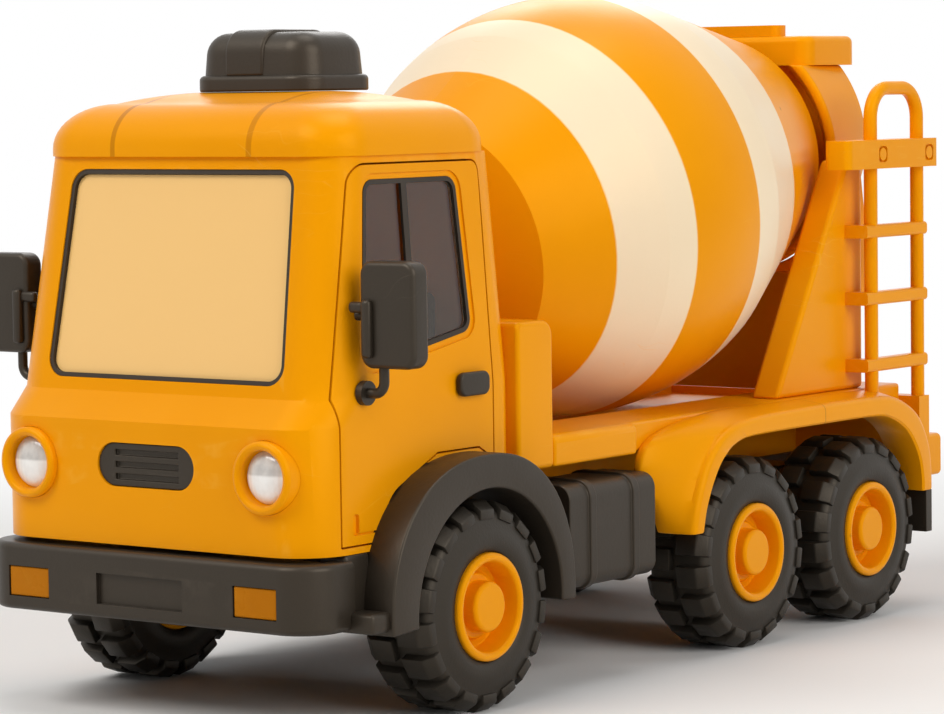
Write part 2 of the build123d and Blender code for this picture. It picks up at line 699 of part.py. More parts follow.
def make_roof():
    """Domed roof, hollow below, with a small lip over the cab sides."""
    half, front, back = cab_limits(ROOF_SEAM_Z)
    with BuildPart() as roof:
        with BuildSketch(Plane.XY.offset(ROOF_SEAM_Z)) as plan:
            with Locations((0, (front + back) / 2)):
                Rectangle(2 * (half + ROOF_LIP), back - front + 2 * ROOF_LIP)
            fillet(plan.vertices(), ROOF_CORNER_RADIUS + ROOF_LIP)
        extrude(amount=ROOF_TOP_Z - ROOF_SEAM_Z)
        fillet(roof.faces().sort_by(Axis.Z)[-1].edges(), ROOF_ROUND)
        with BuildSketch(Plane.XY.offset(ROOF_SEAM_Z)) as hollow:
            with Locations((0, (front + back) / 2)):
                Rectangle(2 * (half - 2 * CAB_WALL), back - front - 4 * CAB_WALL)
            fillet(hollow.vertices(), ROOF_CORNER_RADIUS - 2 * CAB_WALL)
        extrude(amount=ROOF_TOP_Z - ROOF_SEAM_Z - 3 * CAB_WALL, mode=Mode.SUBTRACT)
    save(roof.part, "cab_roof")


def make_windscreen():
    """Raked windscreen panel and the thin seal round it."""
    with BuildPart() as seal:
        extrude(screen_outline(FIT, CAB_WALL), amount=CAB_WALL - 0.4)
        extrude(screen_outline(FIT + SEAL_WIDTH, CAB_WALL), amount=CAB_WALL, mode=Mode.SUBTRACT)
    save(seal.part, "windscreen_seal")
    with BuildPart() as screen:
        extrude(screen_outline(2 * FIT + SEAL_WIDTH, CAB_WALL), amount=CAB_WALL - SCREEN_RECESS)
    save(screen.part, "windscreen")


def make_doors():
    """Door panels with their trim, divided glazing and pull handle."""
    with BuildPart() as door:
        add(side_layer(door_outline(), 0.0, CAB_WALL))
        extrude(window_outline().sketch, amount=2 * CAB_HALF, mode=Mode.SUBTRACT)
        add(side_layer(window_outline(-FRAME_WIDTH), 0.0, FRAME_DEPTH), mode=Mode.SUBTRACT)
        with BuildSketch(Plane.YZ.offset(CAB_HALF)):
            with Locations((CATCH_Y, CATCH_Z)):
                RectangleRounded(CATCH_WIDTH, CATCH_HEIGHT, CATCH_WIDTH / 3)
        extrude(amount=-CATCH_DEPTH, mode=Mode.SUBTRACT)
        with BuildSketch(Plane.YZ.offset(CAB_HALF)):
            with Locations(((CATCH_Y + SILL_LINE_END_Y) / 2, SILL_LINE_Z)):
                Rectangle(SILL_LINE_END_Y - CATCH_Y, SILL_LINE)
        extrude(amount=-SILL_LINE, mode=Mode.SUBTRACT)
    save_pair(door.part, "door")
    with BuildPart() as trim:
        add(side_layer(window_outline(FIT), 0.5, CAB_WALL - 0.3))
        extrude(window_outline(FIT + TRIM_WIDTH).sketch, amount=2 * CAB_HALF, mode=Mode.SUBTRACT)
        with BuildSketch(Plane.YZ) as bar:
            with Locations((DIVIDER_Y, WINDOW_HEAD_Z)):
                Rectangle(DIVIDER_WIDTH, 2 * WINDOW_HEAD_Z, mode=Mode.ADD)
            add(window_outline(FIT), mode=Mode.INTERSECT)
        add(side_layer(bar, 0.5, 1.4))
    save_pair(trim.part, "window_trim")
    save_pair(side_layer(window_outline(2 * FIT + TRIM_WIDTH), 1.5, CAB_WALL - 0.3), "door_window")
    with BuildPart() as handle:
        with BuildSketch(Plane.YZ.offset(CAB_HALF)):
            with Locations((HANDLE_Y, HANDLE_Z)):
                RectangleRounded(HANDLE_LENGTH, HANDLE_HEIGHT, HANDLE_PROUD)
        extrude(amount=HANDLE_PROUD)
        fillet(handle.faces().sort_by(Axis.X)[-1].edges(), HANDLE_PROUD / 3)
    save_pair(handle.part, "door_handle")


def make_mirrors():
    """Mirror housings on bent tube arms, each standing on a round foot."""
    middle_y = MIRROR_FRONT_Y + MIRROR_DEPTH / 2
    arm_x = MIRROR_INNER_X + ARM_INSET
    stay_z = MIRROR_BOTTOM_Z + STAY_RISE
    wall_x, _, _ = cab_limits(stay_z)
    middle_x = (MIRROR_INNER_X + MIRROR_OUTER_X) / 2
    middle_z = (MIRROR_BOTTOM_Z + MIRROR_TOP_Z) / 2
    with BuildPart() as mirror_part:
        with BuildSketch(Plane.XZ.offset(-MIRROR_FRONT_Y - MIRROR_DEPTH)):
            with Locations((middle_x, middle_z)):
                RectangleRounded(MIRROR_WIDTH, MIRROR_TOP_Z - MIRROR_BOTTOM_Z, MIRROR_WIDTH / 5)
        extrude(amount=MIRROR_DEPTH)
        fillet(mirror_part.faces().filter_by(Axis.Y).edges(), 1.6)
        with BuildLine():
            FilletPolyline(
                (CAB_HALF + 1.0, middle_y, ARM_Z),
                (arm_x, middle_y, ARM_Z),
                (arm_x, middle_y, MIRROR_BOTTOM_Z + 1),
                radius=ARM_BEND,
            )
        with BuildSketch(Plane.YZ.offset(CAB_HALF + 1.0)):
            with Locations((middle_y, ARM_Z)):
                Circle(ARM_RADIUS)
        sweep()
        with BuildSketch(Plane.YZ.offset(CAB_HALF)):
            with Locations((middle_y, ARM_Z)):
                Circle(FOOT_RADIUS)
        extrude(amount=FOOT_PROUD)
        with BuildSketch(Plane.YZ.offset(wall_x + FIT)):
            with Locations((middle_y, stay_z)):
                Circle(ARM_RADIUS)
        extrude(amount=MIRROR_INNER_X + 1 - wall_x)
    save_pair(mirror_part.part, "mirror")


def make_interior():
    """Two seats, a dash and a steering wheel inside the cab."""
    with BuildPart() as seat:
        with BuildSketch(Plane.YZ.offset(14.0)) as side:
            with BuildLine():
                Polyline(
                    (FRONT_AXLE_Y - 20, CAB_FLOOR_Z),
                    (FRONT_AXLE_Y - 20, CAB_FLOOR_Z + 12),
                    (FRONT_AXLE_Y + 4, CAB_FLOOR_Z + 11),
                    (FRONT_AXLE_Y + 8, CAB_FLOOR_Z + 52),
                    (FRONT_AXLE_Y + 15, CAB_FLOOR_Z + 52),
                    (FRONT_AXLE_Y + 12, CAB_FLOOR_Z),
                    close=True,
                )
            make_face()
            fillet(side.vertices().group_by(Axis.Y)[-1], 3.0)
        extrude(amount=30.0)
        mirror(about=Plane.YZ)
        with BuildSketch(Plane.XY.offset(CAB_FLOOR_Z)):
            with Locations((0, FRONT_AXLE_Y - 3)):
                Rectangle(30, 26)
        extrude(amount=6)
    save(seat.part, "seats")
    wheel_plane = Plane(
        origin=(29, FRONT_AXLE_Y - 33, CAB_FLOOR_Z + 31), x_dir=(1, 0, 0), z_dir=(0, 1, 1.2)
    )
    with BuildPart() as dash:
        with BuildSketch(Plane.YZ) as side:
            with BuildLine():
                Polyline(
                    (FRONT_AXLE_Y - 58, CAB_FLOOR_Z),
                    (FRONT_AXLE_Y - 58, CAB_FLOOR_Z + 23),
                    (FRONT_AXLE_Y - 46, CAB_FLOOR_Z + 24),
                    (FRONT_AXLE_Y - 40, CAB_FLOOR_Z + 14),
                    (FRONT_AXLE_Y - 43, CAB_FLOOR_Z),
                    close=True,
                )
            make_face()
        extrude(amount=54.0, both=True)
        with BuildSketch(wheel_plane):
            Circle(11.5)
            Circle(9.3, mode=Mode.SUBTRACT)
            Rectangle(20, 2.6)
            Circle(3.0)
        extrude(amount=1.8, both=True)
        with BuildSketch(wheel_plane):
            Circle(1.8)
        extrude(amount=-18)
    save(dash.part, "dashboard")


def make_front():
    """Bumper, indicators, side steps, headlamps and grille."""
    face_y = FRONT_AXLE_Y - FRONT_REACH
    with BuildPart() as bumper:
        with BuildSketch(Plane.XY.offset(BUMPER_BOTTOM_Z)) as plan:
            with Locations((0, (face_y + BUMPER_REAR_Y) / 2)):
                Rectangle(2 * BUMPER_HALF, BUMPER_REAR_Y - face_y)
            fillet(plan.vertices().group_by(Axis.Y)[0], BUMPER_ROUND)
            with Locations((0, BUMPER_REAR_Y)):
                notch = (2 * (BUMPER_HALF - BUMPER_WING), 2 * (BUMPER_REAR_Y - face_y - BUMPER_DEPTH))
                Rectangle(*notch, mode=Mode.SUBTRACT)
        extrude(amount=BUMPER_TOP_Z - BUMPER_BOTTOM_Z)
        fillet(bumper.edges().filter_by(Axis.X).group_by(Axis.Y)[0], 2.0)
        with BuildSketch(Plane.XZ.offset(-face_y - POCKET_DEPTH)):
            with Locations((-INDICATOR_X, INDICATOR_Z), (INDICATOR_X, INDICATOR_Z)):
                Rectangle(INDICATOR_WIDTH, INDICATOR_HEIGHT)
            with Locations((0, INDICATOR_Z)):
                Rectangle(2 * PLATE_HALF, INDICATOR_HEIGHT)
        extrude(amount=2 * POCKET_DEPTH, mode=Mode.SUBTRACT)
    save(bumper.part, "bumper")
    with BuildPart() as indicator:
        with BuildSketch(Plane.XZ.offset(-face_y - POCKET_DEPTH)):
            with Locations((INDICATOR_X, INDICATOR_Z)):
                Rectangle(INDICATOR_WIDTH - 2 * FIT, INDICATOR_HEIGHT - 2 * FIT)
        extrude(amount=POCKET_DEPTH - 0.4)
    save_pair(indicator.part, "indicator")
    with BuildPart() as bezel:
        with BuildSketch(Plane.XZ.offset(-CAB_FRONT_Y - 4.5)):
            with Locations((LAMP_X, LAMP_Z)):
                Circle(BEZEL_RADIUS)
        extrude(amount=7.1)
        with BuildSketch(Plane.XZ.offset(-CAB_FRONT_Y - 2.0)):
            with Locations((LAMP_X, LAMP_Z)):
                Circle(LENS_RADIUS + FIT)
        extrude(amount=8, mode=Mode.SUBTRACT)
    save_pair(bezel.part, "headlamp_bezel")
    with BuildPart() as lens:
        with BuildSketch(Plane.XZ.offset(-CAB_FRONT_Y - 2.0)):
            with Locations((LAMP_X, LAMP_Z)):
                Circle(LENS_RADIUS)
        extrude(amount=4.6)
        fillet(lens.faces().sort_by(Axis.Y)[0].edges(), 2.0)
    save_pair(lens.part, "headlamp_lens")
    with BuildPart() as grille:
        with BuildSketch(Plane.XZ.offset(-CAB_FRONT_Y - CAB_WALL)):
            with Locations((0, GRILLE_Z)):
                SlotOverall(GRILLE_WIDTH, GRILLE_HEIGHT)
        extrude(amount=CAB_WALL - 0.6)
        louvre_pitch = GRILLE_HEIGHT / (LOUVRE_COUNT + 0.6)
        with BuildSketch(Plane.XZ.offset(-CAB_FRONT_Y - CAB_WALL + 0.8)):
            with Locations((0, GRILLE_Z)):
                with GridLocations(0, louvre_pitch, 1, LOUVRE_COUNT):
                    Rectangle(GRILLE_WIDTH - GRILLE_HEIGHT, louvre_pitch * 0.5)
        extrude(amount=CAB_WALL, mode=Mode.SUBTRACT)
    save(grille.part, "grille")


def make_front_fenders():
    """Dark arches over the front wheels, with liners under the cab and a step in front."""
    with BuildPart() as fender:
        with BuildSketch(Plane.YZ.offset(CAB_HALF - STEP_WIDTH)):
            with Locations(((BUMPER_REAR_Y + STEP_REAR_Y) / 2, (STEP_BOTTOM_Z + CHASSIS_TOP_Z) / 2)):
                Rectangle(STEP_REAR_Y - BUMPER_REAR_Y, CHASSIS_TOP_Z - STEP_BOTTOM_Z)
        extrude(amount=STEP_WIDTH)
        with BuildSketch(Plane.YZ.offset(CAB_HALF)):
            with Locations((BUMPER_REAR_Y, (STEP_TOP_Z + CHASSIS_TOP_Z) / 2)):
                Rectangle(2 * (STEP_REAR_Y - BUMPER_REAR_Y), CHASSIS_TOP_Z - STEP_TOP_Z)
        extrude(amount=-STEP_RECESS, mode=Mode.SUBTRACT)
        arch = fender_outline().sketch.moved(Location((CAB_HALF, 0, 0)))
        extrude(arch, amount=FENDER_FACE_X - CAB_HALF)
        with BuildSketch(Plane.YZ.offset(ARCH_INNER_X + 1)) as liner:
            with Locations((FRONT_AXLE_Y, TYRE_RADIUS)):
                Circle(ARCH_RADIUS + LINER - FIT)
            with Locations((FRONT_AXLE_Y, CHASSIS_TOP_Z - 2 * TYRE_RADIUS)):
                Rectangle(4 * TYRE_RADIUS, 4 * TYRE_RADIUS, mode=Mode.SUBTRACT)
        extrude(amount=CAB_HALF - ARCH_INNER_X - 1)
        with BuildSketch(Plane.YZ.offset(ARCH_INNER_X)):
            with Locations((FRONT_AXLE_Y, TYRE_RADIUS)):
                Circle(ARCH_RADIUS)
        extrude(amount=CAB_HALF, mode=Mode.SUBTRACT)
    save_pair(fender.part, "front_fender")


def make_beacon():
    """Roof beacon: a flanged tray and a strapped dome."""
    with BuildPart() as tray:
        with BuildSketch(Plane.XY.offset(ROOF_TOP_Z)):
            with Locations((0, BEACON_Y)):
                RectangleRounded(*BEACON_BASE, 9.0)
        extrude(amount=BEACON_SEAM_Z - ROOF_TOP_Z)
        fillet(tray.faces().sort_by(Axis.Z)[-1].edges(), 1.6)
    save(tray.part, "beacon_tray")
    with BuildPart() as dome:
        with BuildSketch(Plane.XY.offset(BEACON_SEAM_Z)):
            with Locations((0, BEACON_Y)):
                RectangleRounded(*BEACON_DOME, 9.0)
        extrude(amount=DOME_HEIGHT - 0.8, taper=5)
        fillet(dome.faces().sort_by(Axis.Z)[-1].edges(), 5.0)
        with BuildSketch(Plane.YZ.offset(-STRAP_WIDTH / 2)) as strap:
            with Locations((BEACON_Y, BEACON_SEAM_Z + DOME_HEIGHT / 2)):
                Rectangle(BEACON_DOME[1] + 0.8, DOME_HEIGHT)
            fillet(strap.vertices().group_by(Axis.Y)[-1], 6.5)
        extrude(amount=STRAP_WIDTH)
    save(dome.part, "beacon_dome")


# Body behind the cab

def make_back_box():
    """Housing across the truck behind the cab."""
    with BuildPart() as box:
        with BuildSketch(Plane.XY.offset(DECK_BOTTOM_Z)):
            with Locations((0, (CAB_BACK_Y + DECK_FRONT_Y) / 2)):
                Rectangle(2 * SIDE_PANEL_X, DECK_FRONT_Y - CAB_BACK_Y)
        extrude(amount=BACK_BOX_TOP_Z - DECK_BOTTOM_Z)
        fillet(box.edges().filter_by(Axis.X).group_by(Axis.Z)[-1].sort_by(Axis.Y)[-1], 5.0)
        fillet(box.edges().filter_by(Axis.Z), 1.5)
    save(box.part, "back_box")


def make_deck():
    """Recessed pan on the chassis sills, with a rail along each side."""
    length = DECK_REAR_Y - DECK_FRONT_Y
    middle_y = (DECK_REAR_Y + DECK_FRONT_Y) / 2
    with BuildPart() as pan:
        with BuildSketch(Plane.XY.offset(DECK_BOTTOM_Z)):
            with Locations((0, middle_y)):
                Rectangle(2 * PAN_HALF, length)
        extrude(amount=PAN_THICKNESS)
        with BuildSketch(Plane.XY.offset(CHASSIS_TOP_Z)):
            with Locations((0, (CAB_BACK_Y + 1 + DECK_REAR_Y) / 2)):
                Rectangle(2 * CHASSIS_HALF - 4, DECK_REAR_Y - CAB_BACK_Y - 1)
        extrude(amount=DECK_BOTTOM_Z - CHASSIS_TOP_Z)
    save(pan.part, "deck_pan")
    with BuildPart() as rail:
        with BuildSketch(Plane.XY.offset(DECK_BOTTOM_Z)):
            with Locations(((PAN_HALF + RAIL_HALF) / 2, middle_y)):
                Rectangle(RAIL_HALF - PAN_HALF, length)
            with Locations(((RAIL_HALF + SIDE_PANEL_X) / 2, (DECK_FRONT_Y + FENDER_FRONT_Y) / 2)):
                Rectangle(SIDE_PANEL_X - RAIL_HALF, FENDER_FRONT_Y - DECK_FRONT_Y)
        extrude(amount=DECK_TOP_Z - DECK_BOTTOM_Z)
        chamfer(rail.edges().filter_by(Axis.Y).group_by(Axis.Z)[-1].sort_by(Axis.X)[-1], 1.6)
    save_pair(rail.part, "deck_rail")


def make_rear_fenders():
    """Long orange arches over both rear axles, with a boss between the wheels."""
    rear_y = DECK_REAR_Y
    under_z = FENDER_TOP_Z - FENDER_SKIN
    with BuildPart() as fender:
        with BuildSketch(Plane.YZ.offset(RAIL_HALF)) as arch:
            with BuildLine():
                Polyline(
                    (FENDER_FRONT_Y, LEG_BOTTOM_Z),
                    (FENDER_FRONT_Y, FENDER_TOP_Z),
                    (rear_y, FENDER_TOP_Z),
                    (rear_y, LEG_BOTTOM_Z),
                    close=True,
                )
            make_face()
            fillet(arch.vertices().group_by(Axis.Y)[-1].sort_by(Axis.X)[-1], 17.0)
            add(rear_arch_opening(under_z), mode=Mode.SUBTRACT)
        extrude(amount=REAR_FENDER_X - RAIL_HALF)
        fillet(fender.edges().filter_by(Axis.Y).group_by(Axis.Z)[-1].sort_by(Axis.X)[-1], 3.5)
        boss_y = (MID_AXLE_Y + REAR_AXLE_Y) / 2
        with BuildSketch(Plane.XY.offset(under_z)):
            with Locations(((RAIL_HALF + REAR_FENDER_X - 3) / 2, boss_y)):
                Rectangle(REAR_FENDER_X - 3 - RAIL_HALF, 16)
        extrude(amount=-8, taper=12)
    save_pair(fender.part, "rear_fender")


def rear_arch_opening(under_z):
    """Opening of the rear arch, with a large sweep at each end."""
    with BuildSketch(Plane.YZ) as inner:
        with BuildLine():
            Polyline(
                (FENDER_FRONT_Y + FRONT_LEG, LEG_BOTTOM_Z - 1),
                (FENDER_FRONT_Y + FRONT_LEG, under_z),
                (DECK_REAR_Y - REAR_LEG, under_z),
                (DECK_REAR_Y - REAR_LEG, LEG_BOTTOM_Z - 1),
                close=True,
            )
        make_face()
        fillet(inner.vertices().group_by(Axis.Y)[-1].sort_by(Axis.X)[0], 24.0)
        fillet(inner.vertices().group_by(Axis.Y)[-1].sort_by(Axis.X)[-1], 12.0)
    return inner


def make_tanks():
    """Side tanks with raised straps, on brackets from the chassis."""
    length = TANK_REAR_Y - TANK_FRONT_Y
    middle_y = (TANK_FRONT_Y + TANK_REAR_Y) / 2
    middle_x = (TANK_INNER_X + TANK_OUTER_X) / 2
    middle_z = (TANK_BOTTOM_Z + TANK_TOP_Z) / 2
    width = TANK_OUTER_X - TANK_INNER_X
    height = TANK_TOP_Z - TANK_BOTTOM_Z
    with BuildPart() as tank:
        with BuildSketch(Plane.XZ.offset(-TANK_REAR_Y)):
            with Locations((middle_x, middle_z)):
                RectangleRounded(width, height, 5.0)
        extrude(amount=length)
        for strap_y in (TANK_FRONT_Y + length / 4, TANK_REAR_Y - length / 4):
            with BuildSketch(Plane.XZ.offset(-strap_y - 1.5)):
                with Locations((middle_x, middle_z)):
                    RectangleRounded(width + 1.6, height + 1.6, 5.8)
            extrude(amount=3)
        with BuildSketch(Plane.XY.offset(middle_z - 4)):
            with Locations(((CHASSIS_HALF + TANK_INNER_X) / 2, middle_y)):
                Rectangle(TANK_INNER_X - CHASSIS_HALF, length / 2)
        extrude(amount=8)
    save_pair(tank.part, "tank")


# Drum and what carries it

def make_drum():
    """Mixing drum: front shaft, two cones joined by a round belly, neck and open mouth."""
    with BuildPart() as drum:
        with BuildSketch(DRUM_SECTION):
            with BuildLine():
                Polyline(
                    (SHAFT_FRONT, 0),
                    (SHAFT_FRONT, SHAFT_RADIUS),
                    (HEAD_START, SHAFT_RADIUS),
                    (HEAD_START, HEAD_RADIUS),
                    (FRONT_CONE_START, FRONT_CONE_RADIUS),
                    (BELLY_START, BELLY_START_RADIUS),
                )
                ThreePointArc(
                    (BELLY_START, BELLY_START_RADIUS),
                    (BELLY_MIDDLE, BELLY_RADIUS),
                    (BELLY_END, BELLY_END_RADIUS),
                )
                Polyline(
                    (BELLY_END, BELLY_END_RADIUS),
                    (REAR_CONE_END, REAR_CONE_RADIUS),
                    (REAR_CONE_END, NECK_RADIUS),
                    (NECK_END, NECK_RADIUS),
                    (NECK_END, MOUTH_RADIUS),
                    (NECK_END - MOUTH_DEPTH, MOUTH_RADIUS),
                    (NECK_END - MOUTH_DEPTH, 0),
                    (SHAFT_FRONT, 0),
                )
            make_face()
        revolve(axis=DRUM_AXIS)
    save(drum.part, "drum")


def make_front_pedestal():
    """Upright behind the cab with the bearing of the drum's front shaft."""
    shaft_z = drum_point(SHAFT_FRONT).Z
    pan_top = DECK_BOTTOM_Z + PAN_THICKNESS
    with BuildPart() as pedestal:
        with BuildSketch(Plane.XZ.offset(-DECK_FRONT_Y - 10.5)) as face:
            with BuildLine():
                Polyline(
                    (-30, pan_top),
                    (-13, shaft_z + 13),
                    (13, shaft_z + 13),
                    (30, pan_top),
                    close=True,
                )
            make_face()
            fillet(face.vertices().group_by(Axis.Y)[-1], 8.0)
        extrude(amount=10.5)
        with BuildSketch(drum_cross_plane(SHAFT_FRONT - 20)):
            Circle(SHAFT_RADIUS + BEARING_PLAY)
        extrude(amount=60, mode=Mode.SUBTRACT)
    save(pedestal.part, "front_pedestal")


def make_collar():
    """Ring round the drum's neck, flared towards the drum and cut flat under the hopper."""
    bore = NECK_RADIUS + NECK_PLAY
    with BuildPart() as collar:
        with BuildSketch(DRUM_SECTION):
            with BuildLine():
                Polyline(
                    (COLLAR_START, COLLAR_FLARE),
                    (COLLAR_START, COLLAR_RADIUS - 1),
                    (COLLAR_START + 1, COLLAR_RADIUS),
                    (COLLAR_END, COLLAR_BACK_RADIUS),
                    (COLLAR_END, bore),
                    (COLLAR_START + COLLAR_FLARE_DEPTH, bore),
                    (COLLAR_START + COLLAR_FLARE_DEPTH, COLLAR_THROAT),
                    close=True,
                )
            make_face()
        revolve(axis=DRUM_AXIS)
        split(bisect_by=Plane.XY.offset(HOPPER_BOTTOM_Z), keep=Keep.BOTTOM)
    save(collar.part, "collar")


def make_hopper():
    """Open charging hopper on the collar, with a raised block at its front."""
    width = 2 * HOPPER_HALF
    length = HOPPER_REAR_Y - HOPPER_FRONT_Y
    middle_y = (HOPPER_REAR_Y + HOPPER_FRONT_Y) / 2
    with BuildPart() as hopper:
        with BuildSketch(Plane.XY.offset(HOPPER_BOTTOM_Z)):
            with Locations((0, middle_y)):
                RectangleRounded(width, length, 6.0)
        extrude(amount=HOPPER_TOP_Z - HOPPER_BOTTOM_Z)
        fillet(hopper.faces().sort_by(Axis.Z)[-1].edges(), 2.5)
        with BuildSketch(Plane.XY.offset(HOPPER_TOP_Z)):
            with Locations((0, HOPPER_FRONT_Y + 6)):
                RectangleRounded(44, 8, 3.0)
        extrude(amount=4)
        with BuildSketch(Plane.XY.offset(HOPPER_TOP_Z)):
            with Locations((0, middle_y + HOPPER_WALL)):
                RectangleRounded(width - 4 * HOPPER_WALL, length - 4 * HOPPER_WALL, 4.0)
        extrude(amount=-TROUGH_DEPTH, taper=15, mode=Mode.SUBTRACT)
    save(hopper.part, "hopper")


def make_pedestals():
    """Leaning box posts on the rails, with a saddle plate that holds the collar."""
    with BuildPart() as post:
        with BuildSketch(Plane.YZ.offset(PEDESTAL_INNER_X)) as side:
            with BuildLine():
                Polyline(
                    (PEDESTAL_FOOT_Y, DECK_TOP_Z),
                    (PEDESTAL_HEAD_Y, PEDESTAL_TOP_Z),
                    (PEDESTAL_REAR_Y, PEDESTAL_TOP_Z),
                    (PEDESTAL_REAR_Y, DECK_TOP_Z),
                    close=True,
                )
            make_face()
            fillet(side.vertices().group_by(Axis.Y)[-1], 2.5)
        extrude(amount=PEDESTAL_OUTER_X - PEDESTAL_INNER_X)
    save_pair(post.part, "rear_pedestal")
    with BuildPart() as saddle:
        with BuildSketch(drum_cross_plane(SADDLE_STATION)):
            with Locations((0, -COLLAR_RADIUS / 2 - SADDLE_DEPTH / 2)):
                Rectangle(2 * (PEDESTAL_INNER_X - FIT), COLLAR_RADIUS + SADDLE_DEPTH)
            Circle(COLLAR_RADIUS + FIT, mode=Mode.SUBTRACT)
        extrude(amount=SADDLE_THICKNESS)
    save(saddle.part, "collar_saddle")


def make_ladder():
    """Ladder of bent tube with three rungs and a clamp block, on the left side."""
    rung_front_y = PEDESTAL_REAR_Y - RUNG_OVERHANG
    clamp_face_x = LADDER_X + CLAMP_WIDTH / 2
    clamp_middle_z = CLAMP_BOTTOM_Z + CLAMP_HEIGHT / 2
    bend = (LADDER_REAR_Y - LADDER_FRONT_Y) / 3
    with BuildPart() as ladder:
        with BuildLine():
            FilletPolyline(
                (LADDER_X, LADDER_FRONT_Y, FENDER_TOP_Z),
                (LADDER_X, LADDER_FRONT_Y, LADDER_TOP_Z),
                (LADDER_X, LADDER_REAR_Y, LADDER_TOP_Z),
                (LADDER_X, LADDER_REAR_Y, TAIL_TOP_Z),
                radius=bend,
            )
        with BuildSketch(Plane.XY.offset(FENDER_TOP_Z)):
            with Locations((LADDER_X, LADDER_FRONT_Y)):
                Circle(LADDER_TUBE)
        sweep()
        for i in range(RUNG_COUNT):
            z = LOW_RUNG_Z + i * RUNG_PITCH
            with BuildSketch(Plane.XZ.offset(-LADDER_REAR_Y - LADDER_TUBE)):
                with Locations((LADDER_X, z)):
                    RectangleRounded(RUNG_WIDTH, RUNG_HEIGHT, RUNG_ROUND)
            extrude(amount=LADDER_REAR_Y + LADDER_TUBE - rung_front_y)
            with BuildSketch(Plane.YZ.offset(PEDESTAL_OUTER_X)):
                with Locations((rung_front_y + RUNG_WIDTH / 2, z)):
                    Rectangle(RUNG_WIDTH, RUNG_HEIGHT)
            extrude(amount=LADDER_X - PEDESTAL_OUTER_X)
        with BuildSketch(Plane.XY.offset(CLAMP_BOTTOM_Z)):
            with Locations((LADDER_X, (CLAMP_FRONT_Y + CLAMP_REAR_Y) / 2)):
                RectangleRounded(CLAMP_WIDTH, CLAMP_REAR_Y - CLAMP_FRONT_Y, CLAMP_WIDTH / 4)
        extrude(amount=CLAMP_HEIGHT)
        with BuildSketch(Plane.YZ.offset(clamp_face_x)):
            with Locations((LADDER_FRONT_Y, clamp_middle_z), (LADDER_REAR_Y, clamp_middle_z)):
                RectangleRounded(SOCKET_SIZE, SOCKET_SIZE, SOCKET_SIZE / 4)
        extrude(amount=-SOCKET_DEPTH, mode=Mode.SUBTRACT)
        with BuildSketch(Plane.YZ.offset(clamp_face_x - SOCKET_DEPTH)):
            with Locations((LADDER_FRONT_Y, clamp_middle_z), (LADDER_REAR_Y, clamp_middle_z)):
                Circle(PLUG_RADIUS)
        extrude(amount=SOCKET_DEPTH)
    save(ladder.part, "ladder")


def make_tail():
    """End plate across the deck, lamp blocks, mudflaps and the chute's post."""
    with BuildPart() as tail:
        with BuildSketch(Plane.XY.offset(TAIL_BOTTOM_Z)):
            with Locations((0, DECK_REAR_Y + TAIL_THICKNESS / 2)):
                Rectangle(2 * TAIL_HALF, TAIL_THICKNESS)
        extrude(amount=TAIL_TOP_Z - TAIL_BOTTOM_Z)
        with BuildSketch(Plane.XY.offset(TAIL_TOP_Z)):
            with Locations((0, (DECK_REAR_Y + CHUTE_PIVOT_Y + 7) / 2)):
                Rectangle(22, CHUTE_PIVOT_Y + 7 - DECK_REAR_Y)
        extrude(amount=-8)
        with BuildSketch(Plane.XY.offset(TAIL_TOP_Z - 8)):
            with Locations((0, CHUTE_PIVOT_Y)):
                Circle(6.0)
        extrude(amount=CHUTE_PIVOT_Z - TAIL_TOP_Z + 8)
        with BuildSketch(Plane.XY.offset(CHUTE_PIVOT_Z)):
            with Locations((0, CHUTE_PIVOT_Y)):
                Circle(PIVOT_RADIUS)
        extrude(amount=PIN_HEIGHT)
        with BuildSketch(Plane.XZ.offset(-DECK_REAR_Y - TAIL_THICKNESS)):
            with Locations((-LAMP_BLOCK_X, LAMP_BLOCK_Z), (LAMP_BLOCK_X, LAMP_BLOCK_Z)):
                RectangleRounded(13, 15, 2.0)
        extrude(amount=-9)
    save(tail.part, "tail_frame")
    with BuildPart() as flap:
        with BuildSketch(Plane.XZ.offset(-DECK_REAR_Y)):
            with Locations((RAIL_HALF, (FLAP_BOTTOM_Z + LEG_BOTTOM_Z) / 2)):
                Rectangle(2 * (REAR_FENDER_X - RAIL_HALF - 1), LEG_BOTTOM_Z - FLAP_BOTTOM_Z)
        extrude(amount=4)
        with BuildSketch(Plane.XZ.offset(-DECK_REAR_Y)):
            with Locations((RAIL_HALF - TAB_WIDTH, LEG_BOTTOM_Z + TAB_HEIGHT / 2)):
                Rectangle(TAB_WIDTH, TAB_HEIGHT)
        extrude(amount=4)
    save_pair(flap.part, "mudflap")


